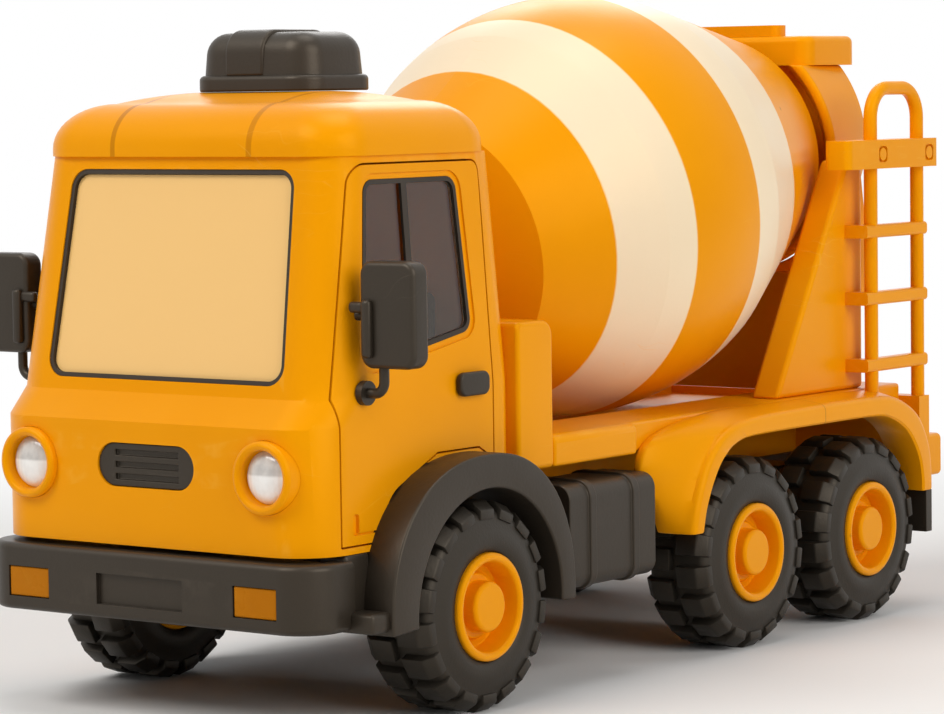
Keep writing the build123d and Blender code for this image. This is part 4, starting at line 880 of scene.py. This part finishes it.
def eased(points: Line, steps: int) -> List[Span]:
    """Resample a polyline smoothly through its points.

    Args:
        points: corner points.
        steps: samples between each two of them.

    Returns:
        The smoothed points, with both ends kept.
    """
    out: List[Span] = []
    last = len(points) - 1
    for i in range(last):
        before, start, end, after = (
            Vector(points[min(max(k, 0), last)]) for k in (i - 1, i, i + 1, i + 2))
        for j in range(steps):
            t = j / steps
            bend = (2 * start + (end - before) * t
                    + (2 * before - 5 * start + 4 * end - after) * t * t
                    + (3 * start - before - 3 * end + after) * t ** 3) / 2
            out.append((bend.x, bend.y))
    out.append(points[-1])
    return out


class Workshop:
    """What every sub-assembly needs: the frame, the finishes and a place to report pieces."""

    def __init__(self, frame: Dict[str, object], finishes: Finishes) -> None:
        """Read each node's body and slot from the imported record.

        Args:
            frame: the loaded frame.
            finishes: the truck's materials.
        """
        self.frame = frame
        self.finishes = finishes
        record = frame["record"]
        self.slot_of = {row["node"]: row["material_slot"] for row in record["subparts"]}
        self.body_of = {n: b for b, names in record["behaviour"]["bodies"].items() for n in names}
        self.pieces: List[str] = []

    def paint(self, piece: Piece, material: Material) -> None:
        """Give a piece one material."""
        piece.data.materials.clear()
        piece.data.materials.append(material)

    def paint_nodes(self) -> None:
        """Give every carried-over node the finish of its slot."""
        for name, node in self.frame["nodes"].items():
            self.paint(node, self.finishes.by_slot[self.slot_of[name]])

    def hand_in(self, piece: Piece, name: str, node: str, replaces: bool = True,
                material: Optional[Material] = None) -> None:
        """Name, dress and attach a finished piece.

        Args:
            piece: the finished object, with its place in its mesh.
            name: the piece's name.
            node: the node whose body and slot it takes.
            replaces: whether it stands for that node.
            material: a finish of its own, or the slot's.
        """
        piece.name = piece.data.name = name
        self.paint(piece, material or self.finishes.by_slot[self.slot_of[node]])
        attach(piece, self.body_of[node])
        if replaces:
            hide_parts(node)
        self.pieces.append(name)
        log.info("%s: %d faces, rides on %s", name, len(piece.data.polygons), self.body_of[node])

    def hand_in_pair(self, piece: Piece, node: str, form: str, replaces: bool = True,
                     material: Optional[Material] = None) -> None:
        """Mirror a left-hand piece and hand in both.

        Args:
            piece: the left-hand piece.
            node: the nodes' name without its side.
            form: what the pieces' names end with.
            replaces: whether they stand for those nodes.
            material: a finish of their own, or the slot's.
        """
        for side, half in zip(SIDES, (piece, mirrored(piece))):
            self.hand_in(half, f"{node}_{side}_{form}", f"{node}_{side}", replaces, material)


@dataclass
class SoftenedPanels:
    """Moulded panels whose edges are rounded as the toy's are, from merged copies of the solids."""

    shop: Workshop
    radii: Dict[str, float] = field(default_factory=lambda: {
        "back_box": 3.0, "bumper": 1.1, "deck_rail_left": 1.3, "deck_rail_right": 1.3,
        "grille": 0.35, "rear_pedestal_left": 1.6, "rear_pedestal_right": 1.6, "collar": 1.2,
        "collar_saddle": 1.0, "hopper": 1.4, "tail_frame": 0.8, "front_pedestal": 0.9,
        "mudflap_left": 0.8, "mudflap_right": 0.8, "headlamp_bezel_left": 1.3,
        "headlamp_bezel_right": 1.3, "tank_left": 0.6, "tank_right": 0.6, "chute": 0.5,
        "beacon_tray": 0.6, "ladder": 0.6, "door_left": 0.35, "door_right": 0.35,
        "cab_shell": 0.5, "seats": 1.2, "dashboard": 0.6, "chassis": 0.6,
        "indicator_left": 0.5, "indicator_right": 0.5, "mirror_left": 2.0, "mirror_right": 2.0,
        "door_handle_left": 1.0, "door_handle_right": 1.0, "wheelset_front": 0.4,
        "wheelset_mid": 0.4, "wheelset_rear": 0.4,
    })
    cab_seam_z: float = 168.0
    cab_shoulder_z: float = 98.0
    cab_back_y: float = -90.0
    strip_front_y: float = -99.5
    back_rake: float = 6.0
    tank_stretch: float = 6.0
    merge: float = 0.004
    flat: float = 0.6
    segments: int = 3

    def build(self) -> None:
        """Make the rounded copy of each listed node."""
        for node, radius in self.radii.items():
            self.soften(node, radius)

    def soften(self, node: str, radius: float) -> None:
        """Copy a node's solid, merge its triangles and round its edges.

        Args:
            node: the node to copy and stand for.
            radius: edge radius.
        """
        piece = Bench.copied(self.shop.frame["nodes"][node].data, node)
        Bench.faces(piece)
        if piece.data.has_custom_normals:
            bpy.ops.mesh.customdata_custom_splitnormals_clear()
        bpy.ops.mesh.remove_doubles(threshold=self.merge * MM)
        bpy.ops.mesh.dissolve_limited(angle_limit=radians(self.flat))
        Bench.done(piece)
        Bench.bevel(piece, radius, self.segments)
        if node == "cab_shell":
            self.upright_back(piece)
        elif node.startswith("tank"):
            self.lengthen(piece)
        else:
            self.keep_inside(piece, node)
        self.shop.hand_in(Bench.done(piece, SOFT_ANGLE), f"{node}_moulding", node)

    def keep_inside(self, piece: Piece, node: str) -> None:
        """Hold a piece's points inside the box of its node.

        Args:
            piece: the piece.
            node: the node.
        """
        low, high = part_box(node)
        for point in piece.data.vertices:
            point.co = [min(max(c, lo), hi) for c, lo, hi in zip(point.co, low, high)]

    def upright_back(self, shell: Piece) -> None:
        """Draw the strip behind the doors back until the cab's rear wall stands upright.

        Args:
            shell: the cab's shell.
        """
        for point in shell.data.vertices:
            z = point.co.z / MM
            rise = (z - self.cab_shoulder_z) / (self.cab_seam_z - self.cab_shoulder_z)
            rake = self.back_rake * min(max(rise, 0.0), 1.0)
            strip = self.cab_back_y - rake - self.strip_front_y
            share = (point.co.y / MM - self.strip_front_y) / strip
            if share > 0:
                point.co.y += share * rake * MM

    def lengthen(self, tank: Piece) -> None:
        """Draw a tank's rear end towards the rear mudguard.

        Args:
            tank: the tank.
        """
        along = [point.co.y for point in tank.data.vertices]
        low, high = min(along), max(along)
        for point in tank.data.vertices:
            point.co.y += self.tank_stretch * MM * (point.co.y - low) / (high - low)


@dataclass
class DomedRoof:
    """Thick moulded roof with broad rounded shoulders and a low crown, hollow below."""

    shop: Workshop
    half: float = 60.2
    front: float = -169.0
    back: float = -89.4
    seam_z: float = 168.0
    corner: float = 15.0
    corner_segments: int = 10
    lip: float = 2.2
    shoulder_in: float = 15.5
    shoulder_up: float = 13.6
    shoulder_steps: int = 12
    crown_in: float = 24.0
    crown_up: float = 3.2
    crown_steps: int = 7
    wall: float = 6.5
    hollow: float = 9.0

    def profile(self) -> List[Span]:
        """Work out the section up the shoulder and over the crown.

        Returns:
            Insets from the outline, with heights above the seam.
        """
        rows = [(0.0, self.lip)]
        for i in range(1, self.shoulder_steps + 1):
            turn = pi / 2 * i / self.shoulder_steps
            rows.append((self.shoulder_in * (1 - cos(turn)), self.lip + self.shoulder_up * sin(turn)))
        for i in range(1, self.crown_steps):
            part = i / self.crown_steps
            rise = self.crown_up * (1 - (1 - part) ** 2)
            rows.append((self.shoulder_in + self.crown_in * part, self.lip + self.shoulder_up + rise))
        return rows

    def build(self) -> None:
        """Model the roof upwards from its outline and hollow it from below."""
        middle = (self.front + self.back) / 2
        reach = (self.back - self.front) / 2
        roof = Bench.block(
            (2 * self.half, 2 * reach, self.lip), (0, middle, self.seam_z + self.lip / 2))
        Bench.round_edges(roof, upright, self.corner, self.corner_segments)
        Bench.faces(roof, lambda face: face.normal.z > FACING)
        (last_inset, last_height), *rows = self.profile()
        for inset, height in rows:
            Bench.extrude(0, 0, height - last_height)
            across = (self.half - inset) / (self.half - last_inset)
            along = (reach - inset) / (reach - last_inset)
            bpy.ops.transform.resize(value=(across, along, 1), center_override=(0, middle * MM, 0))
            last_inset, last_height = inset, height
        Bench.leave()
        Bench.faces(roof, lambda face: face.normal.z < -FACING)
        Bench.inset(self.wall, 0)
        Bench.extrude(0, 0, self.hollow)
        self.shop.hand_in(
            Bench.done(roof), "cab_roof_dome", "cab_roof", material=self.shop.finishes.roof)


@dataclass
class FrontArches:
    """Round dark arches over the front wheels, with their liners, and the steps behind the bumper."""

    shop: Workshop
    axle: Span = (-117.0, 32.0)
    opening: float = 35.8
    crest: float = 46.2
    toe: float = 48.2
    heel: float = 43.0
    squareness: float = 2.25
    face_x: float = 75.6
    side_x: float = 62.5
    liner_x: float = 46.5
    liner: float = 1.6
    foot: float = -3.5
    steps: int = 44
    edge: float = 2.6
    panel: Point = (10.0, 11.0, 21.0)
    panel_centre: Point = (59.5, -167.5, 42.5)
    tread: Point = (15.0, 12.0, 6.0)
    tread_centre: Point = (66.5, -167.0, 33.4)
    step_edge: float = 1.2

    def row(self, turn: float) -> List[Point]:
        """Work out the arch's section at an angle.

        Args:
            turn: radians from the rear.

        Returns:
            The closed section.
        """
        across, up = cos(turn), sin(turn)
        reach = self.toe if across < 0 else self.heel
        outer = (abs(across / reach) ** self.squareness
                 + abs(up / self.crest) ** self.squareness) ** (-1 / self.squareness)
        lined = self.opening + self.liner
        section = (
            (self.liner_x, self.opening), (self.side_x, self.opening), (self.face_x, self.opening),
            (self.face_x, outer), (self.side_x, outer), (self.side_x, lined), (self.liner_x, lined),
        )
        y, z = self.axle
        return [(x, y + r * across, z + r * up) for x, r in section]

    def build(self) -> None:
        """Model the left arch with its step and mirror it."""
        start, end = radians(self.foot), pi - radians(self.foot)
        arch = tube([self.row(start + (end - start) * i / self.steps) for i in range(self.steps + 1)])
        Bench.bevel(arch, self.edge, segments=4, angle=50.0)
        panel = Bench.block(self.panel, self.panel_centre)
        tread = Bench.block(self.tread, self.tread_centre)
        for block in (panel, tread):
            Bench.bevel(block, self.step_edge, segments=3)
        Bench.joined(arch, panel, tread)
        self.shop.hand_in_pair(Bench.done(arch, SOFT_ANGLE), "front_fender", "arch")


@dataclass
class RearArches:
    """Long orange mudguards whose front legs flare out from the deck in one soft sweep.

    Each line is a side view from the front foot to the rear one, in Y and Z: the wheel opening,
    the outer face's upper edge, and the root where the mudguard meets the deck.
    """

    shop: Workshop
    opening: Line = (
        (-2.6, 42.0), (-0.4, 50.0), (4.0, 58.5), (10.0, 65.5), (19.0, 70.0), (31.0, 71.3),
        (68.0, 71.5), (105.0, 71.3), (117.0, 69.8), (128.0, 64.6), (135.5, 56.0), (138.2, 48.0),
        (138.5, 42.0))
    face: Line = (
        (-9.0, 42.0), (-7.2, 50.0), (-3.4, 59.0), (2.0, 67.0), (11.0, 73.6), (27.0, 77.4),
        (68.0, 78.3), (109.0, 78.1), (124.0, 76.0), (136.5, 69.6), (143.6, 59.5), (145.7, 50.0),
        (146.0, 42.0))
    root: Line = (
        (-9.6, 42.0), (-13.0, 49.0), (-18.0, 56.5), (-23.0, 64.5), (-14.0, 74.0), (20.0, 79.2),
        (68.0, 79.3), (109.0, 79.3), (126.0, 77.6), (138.0, 71.0), (144.3, 60.5), (146.0, 50.0),
        (146.0, 42.0))
    samples: int = 5
    inner_x: float = 62.0
    root_x: float = 65.0
    face_x: float = 76.0
    edge: float = 2.6
    edge_steps: int = 4
    flare: float = 1.3
    flare_steps: int = 5
    lip: float = 0.7

    def row(self, opening: Vector, face: Vector, root: Vector) -> List[Point]:
        """Work out the closed section at one station along the arch.

        Args:
            opening: where the wheel opening is.
            face: where the outer face ends.
            root: where the mudguard meets the deck.

        Returns:
            The section.
        """
        inward = (opening - face).normalized()
        rounding = []
        for i in range(self.edge_steps + 1):
            turn = pi / 2 * i / self.edge_steps
            at = face + inward * self.edge * (1 - cos(turn))
            rounding.append((self.face_x - self.edge * (1 - sin(turn)), at.x, at.y))
        sweep = []
        for i in range(1, self.flare_steps):
            part = i / self.flare_steps
            at = root.lerp(face, part ** self.flare)
            sweep.append((self.root_x + (self.face_x - self.edge - self.root_x) * part, at.x, at.y))
        lip = opening - inward * self.lip
        return [
            (self.inner_x, *opening), (self.face_x - self.lip, *opening), (self.face_x, *lip),
            *reversed(rounding), *reversed(sweep), (self.root_x, *root), (self.inner_x, *root),
        ]

    def build(self) -> None:
        """Model the left mudguard and mirror it."""
        lines = [eased(line, self.samples) for line in (self.opening, self.face, self.root)]
        guard = tube([self.row(*(Vector(p) for p in station)) for station in zip(*lines)])
        Bench.bevel(guard, self.lip, segments=2, angle=55.0)
        self.shop.hand_in_pair(
            Bench.done(guard, SOFT_ANGLE), "rear_fender", "sweep", material=self.shop.finishes.guard)


@dataclass
class BeaconDome:
    """Dark beacon: a softly rounded dome under a broad raised strap."""

    shop: Workshop
    centre_y: float = -120.0
    base_z: float = 191.6
    dome: Point = (45.5, 32.5, 13.4)
    dome_corner: float = 9.0
    dome_top: float = 6.5
    dome_taper: float = 0.95
    strap: Point = (15.0, 33.4, 14.3)
    strap_x: float = -2.0
    strap_top: float = 7.4
    strap_edge: float = 0.9
    segments: int = 8

    def block(self, size: Point, x: float) -> Piece:
        """Add a block that stands on the beacon's tray, with its middle at x."""
        return Bench.block(size, (x, self.centre_y, self.base_z + size[2] / 2))

    def rounded_dome(self) -> Piece:
        """Model the dome, with rounded corners and top, narrowing upwards.

        Returns:
            The dome.
        """
        dome = self.block(self.dome, 0)
        Bench.round_edges(dome, upright, self.dome_corner, self.segments)
        Bench.faces(dome, lambda face: face.normal.z > FACING)
        bpy.ops.transform.resize(
            value=(self.dome_taper, self.dome_taper, 1), center_override=(0, self.centre_y * MM, 0))
        Bench.leave()
        peak = max(point.co.z for point in dome.data.vertices) - TINY
        Bench.round_edges(dome, lambda a, b: min(a.z, b.z) > peak, self.dome_top, self.segments)
        return Bench.done(dome, SOFT_ANGLE)

    def arched_strap(self) -> Piece:
        """Model the strap, rounded over its front and rear top edges.

        Returns:
            The strap.
        """
        strap = self.block(self.strap, self.strap_x)
        peak = (self.base_z + self.strap[2]) * MM - TINY
        wide = self.strap[0] / 2 * MM
        Bench.round_edges(
            strap, lambda a, b: abs(a.x - b.x) > wide and min(a.z, b.z) > peak,
            self.strap_top, self.segments + 1)
        Bench.done(strap)
        Bench.bevel(strap, self.strap_edge, segments=3, angle=40.0)
        return strap

    def build(self) -> None:
        """Join the dome and its strap."""
        dome = self.rounded_dome()
        Bench.joined(dome, self.arched_strap())
        self.shop.hand_in(Bench.done(dome, SOFT_ANGLE), "beacon_dome_rounded", "beacon_dome")


@dataclass
class DrumWeb:
    """Cross panel between the rear posts, hollowed to clear the drum above it."""

    shop: Workshop
    half: float = 49.5
    foot_z: float = 79.2
    side_z: float = 121.0
    front_y: float = 104.0
    thickness: float = 3.0
    axis_z: float = 160.5
    clear: float = 47.0
    edge: float = 0.6
    steps: int = 24

    def build(self) -> None:
        """Model the panel under a round hollow."""
        back_y = self.front_y + self.thickness
        rows = []
        for i in range(self.steps + 1):
            x = -self.half + 2 * self.half * i / self.steps
            hollow = self.axis_z - sqrt(max(self.clear ** 2 - x * x, 0.0))
            top = min(self.side_z, hollow)
            rows.append([
                (x, self.front_y, self.foot_z), (x, back_y, self.foot_z), (x, back_y, top),
                (x, self.front_y, top)])
        web = tube(rows)
        Bench.bevel(web, self.edge, segments=2, angle=50.0)
        self.shop.hand_in(Bench.done(web, SOFT_ANGLE), "rear_cross_web", "rear_pedestal_left", False)


@dataclass
class MirrorBrackets:
    """Short brackets that hold the mirror housings to their stems."""

    shop: Workshop
    bar: Point = (3.4, 3.0, 17.0)
    bar_centre: Point = (69.4, -167.6, 118.5)
    link: Point = (8.0, 2.6, 3.2)
    link_centre: Point = (66.4, -166.6, 124.6)
    roundness: float = 0.42

    def rod(self, size: Point, centre: Point) -> Piece:
        """Model a rounded bar.

        Args:
            size: its size.
            centre: its centre.

        Returns:
            The bar.
        """
        rod = Bench.block(size, centre)
        Bench.bevel(rod, min(size) * self.roundness, segments=4)
        return Bench.done(rod)

    def build(self) -> None:
        """Model the left bracket and mirror it."""
        bar = self.rod(self.bar, self.bar_centre)
        Bench.joined(bar, self.rod(self.link, self.link_centre))
        self.shop.hand_in_pair(bar, "mirror", "bracket", False)


@dataclass
class Tyres:
    """Chunky tyres: a rounded carcass with two staggered rows of bevelled lugs.

    The sidewall is a list of insets from the shoulder inwards, each with the rise across it.
    """

    shop: Workshop
    tread_radius: float = 32.0
    valley_radius: float = 29.4
    bead_radius: float = 16.6
    bead: float = 0.5
    width: float = 25.8
    shoulder: float = 3.2
    shoulder_segments: int = 6
    sidewall: Line = ((0.8, 0.0), (2.6, 1.0), (3.2, 0.3))
    dish: float = 0.7
    groove: float = 1.2
    lugs: int = 18
    lug_width: float = 7.2
    lug_end: float = 12.3
    lug_end_taper: float = 0.94
    lug_crown_end: float = 9.0
    lug_step_out: float = 1.0
    lug_step_down: float = 0.9
    lug_end_down: float = 1.7
    lug_foot: float = 27.2
    edge: float = 0.55
    sides: int = 96

    def carcass(self) -> Piece:
        """Model the smooth body of the tyre round the X axis, from a cylinder with inset ends.

        Returns:
            The carcass.
        """
        half = self.width / 2 - sum(rise for _, rise in self.sidewall)
        bpy.ops.mesh.primitive_cylinder_add(
            vertices=self.sides, radius=self.valley_radius * MM, depth=2 * half * MM,
            rotation=(0, pi / 2, 0))
        tyre = bpy.context.active_object
        Bench.settle(tyre)
        Bench.round_edges(
            tyre, lambda a, b: abs(a.x - b.x) < TINY, self.shoulder, self.shoulder_segments)
        Bench.faces(tyre, lambda face: len(face.vertices) >= self.sides)
        inner = self.valley_radius - self.shoulder - sum(width for width, _ in self.sidewall)
        last = ((inner - self.bead_radius - self.bead, -self.dish), (self.bead, -self.bead))
        for width, rise in (*self.sidewall, *last):
            Bench.inset(width, rise)
        bpy.ops.mesh.delete(type="FACE")
        Bench.leave()
        rim = (self.bead_radius + self.bead / 2) * MM
        Bench.edges(tyre, lambda a, b: max(Vector(a.yz).length, Vector(b.yz).length) < rim)
        bpy.ops.mesh.bridge_edge_loops()
        return Bench.done(tyre, SOFT_ANGLE)

    def lug(self) -> Piece:
        """Model one lug at the top of the wheel: a crown block, and a lower stepped shoulder.

        Returns:
            The lug.
        """
        crown = sqrt(self.tread_radius ** 2 - (self.lug_width / 2) ** 2)
        middle = (crown + self.lug_foot) / 2
        lug = Bench.block(
            (self.lug_crown_end - self.groove, self.lug_width, crown - self.lug_foot),
            ((self.groove + self.lug_crown_end) / 2, 0, middle))
        Bench.faces(lug, lambda face: face.normal.x > FACING)
        Bench.extrude(self.lug_step_out, 0, -self.lug_step_down)
        Bench.extrude(self.lug_end - self.lug_crown_end - self.lug_step_out, 0, 0)
        bpy.ops.transform.resize(value=(1, self.lug_end_taper, 1))
        Bench.leave()
        for point in lug.data.vertices:
            if abs(point.co.x - self.lug_end * MM) < TINY and point.co.z > middle * MM:
                point.co.z -= self.lug_end_down * MM
        Bench.bevel(lug, self.edge, segments=2, angle=20.0)
        return Bench.done(lug)

    def tread(self, lug: Piece, tyre: Piece) -> None:
        """Copy the lug round both rows and join the copies to the tyre.

        Args:
            lug: the lug, which is used up.
            tyre: the carcass.
        """
        copies = []
        for row in range(2):
            flip = Matrix.Rotation(row * pi, 4, "Z")
            for i in range(self.lugs):
                turn = Matrix.Rotation(2 * pi * (i + row / 2) / self.lugs, 4, "X")
                copy = Bench.copied(lug.data, "lug")
                copy.data.transform(turn @ flip)
                copies.append(copy)
        bpy.data.objects.remove(lug)
        Bench.joined(tyre, *copies)

    def build(self) -> None:
        """Model one tyre and place a copy on each end of each axle."""
        pattern = self.carcass()
        self.tread(self.lug(), pattern)
        for axle in AXLES:
            for side in SIDES:
                node = f"tyre_{axle}_{side}"
                low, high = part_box(node)
                tyre = Bench.copied(pattern.data, node)
                turn = Matrix.Rotation(0 if side == "left" else pi, 4, "Z")
                tyre.data.transform(Matrix.Translation((low + high) / 2) @ turn)
                self.shop.hand_in(tyre, f"{node}_tread", node)
        bpy.data.objects.remove(pattern)


@dataclass
class Headlamps:
    """Shallow domed lenses in the headlamp rings."""

    shop: Workshop
    swell: float = 0.72
    edge: float = 0.5

    def build(self) -> None:
        """Model a dome in the space of each lens."""
        for side in SIDES:
            node = f"headlamp_lens_{side}"
            low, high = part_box(node)
            middle = (low + high) / 2
            radius = (high.x - low.x) / 2
            bpy.ops.mesh.primitive_uv_sphere_add(
                segments=64, ring_count=32, radius=1, location=(middle.x, high.y, middle.z),
                rotation=(pi / 2, 0, 0))
            lens = bpy.context.active_object
            lens.scale = (radius, radius, (high.y - low.y) * self.swell)
            Bench.settle(lens)
            Bench.faces(lens)
            bpy.ops.mesh.bisect(
                plane_co=(0, high.y, 0), plane_no=(0, 1, 0), use_fill=True, clear_outer=True)
            Bench.leave()
            Bench.bevel(lens, self.edge, segments=2, angle=60.0)
            self.shop.hand_in(Bench.done(lens), f"{node}_dome", node)


@dataclass
class Mirrors:
    """Silvered plates set into the rear faces of the door mirrors."""

    shop: Workshop
    border: float = 2.4
    thickness: float = 0.5
    proud: float = 0.1
    corner: float = 2.6
    corner_segments: int = 6
    head_height: float = 31.0
    head_width: float = 20.0

    def build(self) -> None:
        """Model a plate on each housing."""
        size = (self.head_width - 2 * self.border, self.thickness, self.head_height - 2 * self.border)
        for side in SIDES:
            node = f"mirror_{side}"
            low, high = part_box(node)
            outer, inward = (high.x, -1) if side == "left" else (low.x, 1)
            plate = Bench.block(size, (
                outer / MM + inward * self.head_width / 2,
                high.y / MM - self.thickness / 2 + self.proud,
                high.z / MM - self.head_height / 2))
            Bench.round_edges(
                plate, lambda a, b: abs(a.y - b.y) > TINY, self.corner, self.corner_segments)
            Bench.bevel(plate, self.thickness / 4, segments=2, angle=60.0)
            self.shop.hand_in(
                Bench.done(plate), f"{node}_plate", node, False, self.shop.finishes.mirror)


@dataclass(frozen=True)
class Lamp:
    """A square area lamp, with its place and size in metres and its power in watts."""

    name: str
    place: Point
    size: float
    power: float
    colour: Colour = (1.0, 1.0, 1.0)


@dataclass
class Studio:
    """Pale floor, soft lamps and the camera at the photograph's viewing angle."""

    position: Point = (0.72103, -0.97942, 0.18765)
    azimuth: float = 37.02
    elevation: float = 4.32
    roll: float = -0.82
    focal_pixels: float = 3625.75
    centre: Span = (476.97, 360.23)
    sensor: float = 36.0
    clip: Span = (0.05, 50.0)
    lamps: Tuple[Lamp, ...] = (
        Lamp("key", (-0.5, -1.3, 1.5), 1.0, 21.0, (1.0, 0.97, 0.93)),
        Lamp("fill", (1.7, -0.3, 0.9), 1.3, 19.0, (1.0, 0.98, 0.95)),
        Lamp("top", (0.1, 0.2, 1.9), 1.0, 9.0),
        Lamp("rim", (-0.9, 1.3, 1.1), 0.8, 6.0),
    )
    aim: Point = (0.0, 0.0, 0.1)
    white: Colour = (1.0, 1.0, 1.0)
    sky: Colour = (1.0, 0.99, 0.97)
    sky_strength: float = 0.14
    floor_colour: Colour = (0.9, 0.9, 0.9)
    floor_radius: float = 12.0
    floor_fade: Span = (0.28, 0.75)

    def camera(self) -> None:
        """Place the camera by its angles, with the small shift of the photograph's framing."""
        azimuth, elevation, roll = (radians(x) for x in (self.azimuth, self.elevation, self.roll))
        back = Vector((sin(azimuth) * cos(elevation), -cos(azimuth) * cos(elevation), sin(elevation)))
        right = Vector((cos(azimuth), sin(azimuth), 0))
        up = back.cross(right)
        across = cos(roll) * right + sin(roll) * up
        upward = -sin(roll) * right + cos(roll) * up
        data = bpy.data.cameras.new("photo_camera")
        width, height = FRAME_SIZE
        data.sensor_width = self.sensor
        data.lens = self.focal_pixels / width * self.sensor
        data.shift_x = (width / 2 - self.centre[0]) / width
        data.shift_y = (self.centre[1] - height / 2) / width
        data.clip_start, data.clip_end = self.clip
        camera = bpy.data.objects.new("photo_camera", data)
        bpy.context.scene.collection.objects.link(camera)
        turn = Matrix((across, upward, back)).transposed().to_4x4()
        camera.matrix_world = Matrix.Translation(self.position) @ turn
        bpy.context.scene.camera = camera

    def light(self, lamp: Lamp) -> None:
        """Add a lamp aimed at the truck.

        Args:
            lamp: its values.
        """
        data = bpy.data.lights.new(lamp.name, "AREA")
        data.size, data.energy, data.color = lamp.size, lamp.power, lamp.colour
        light = bpy.data.objects.new(lamp.name, data)
        bpy.context.scene.collection.objects.link(light)
        light.location = lamp.place
        light.rotation_mode = "QUATERNION"
        aim = Vector(self.aim) - Vector(lamp.place)
        light.rotation_quaternion = aim.to_track_quat("-Z", "Y")

    def seen_rays(self, sheet: NodeSheet) -> Socket:
        """Tell the rays that the eye follows from those that only carry light.

        Args:
            sheet: the nodes to add to.

        Returns:
            1 for camera, glossy and transmission rays.
        """
        rays = sheet.node("LightPath").outputs
        share = rays["Is Camera Ray"]
        for name in ("Is Glossy Ray", "Is Transmission Ray"):
            share = sheet.maths("MAXIMUM", share, rays[name])
        return share

    def world(self) -> None:
        """White to the eye, and a dim neutral sky for light."""
        world = bpy.data.worlds.new("studio")
        bpy.context.scene.world = world
        world.use_nodes = True
        world.node_tree.nodes.clear()
        sheet = NodeSheet(world.node_tree)
        sky = sheet.node("Background", Color=self.sky, Strength=self.sky_strength)
        white = sheet.node("Background", Color=self.white, Strength=1.0)
        sheet.node("OutputWorld", Surface=sheet.blend(self.seen_rays(sheet), sky, white))

    def floor(self) -> None:
        """Pale floor that fades to plain white away from the truck."""
        bpy.ops.mesh.primitive_circle_add(vertices=96, radius=self.floor_radius, fill_type="NGON")
        floor = bpy.context.active_object
        floor.name = "studio_floor"
        material = bpy.data.materials.new("studio_floor")
        material.use_nodes = True
        material.node_tree.nodes.clear()
        sheet = NodeSheet(material.node_tree)
        away = sheet.sums("VectorMath", "LENGTH", sheet.place()).outputs["Value"]
        seen = sheet.times(sheet.ramp(away, *self.floor_fade), self.seen_rays(sheet))
        matt = sheet.node("BsdfDiffuse", Color=self.floor_colour)
        white = sheet.node("Emission", Color=self.white, Strength=1.0)
        sheet.node("OutputMaterial", Surface=sheet.blend(seen, matt, white))
        floor.data.materials.append(material)

    def build(self) -> None:
        """Set up the camera, lamps, world and floor."""
        bpy.context.scene.view_settings.view_transform = "Standard"
        self.camera()
        for lamp in self.lamps:
            self.light(lamp)
        self.world()
        self.floor()


def main() -> None:
    """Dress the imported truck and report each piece."""
    logging.basicConfig(level=logging.INFO, format="%(name)s: %(message)s")
    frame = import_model()
    shop = Workshop(frame, Finishes())
    shop.paint_nodes()
    SoftenedPanels(shop).build()
    DomedRoof(shop).build()
    FrontArches(shop).build()
    RearArches(shop).build()
    BeaconDome(shop).build()
    DrumWeb(shop).build()
    MirrorBrackets(shop).build()
    Tyres(shop).build()
    Headlamps(shop).build()
    Mirrors(shop).build()
    Studio().build()
    log.info("%d pieces added", len(shop.pieces))


if __name__ == "__main__":
    main()
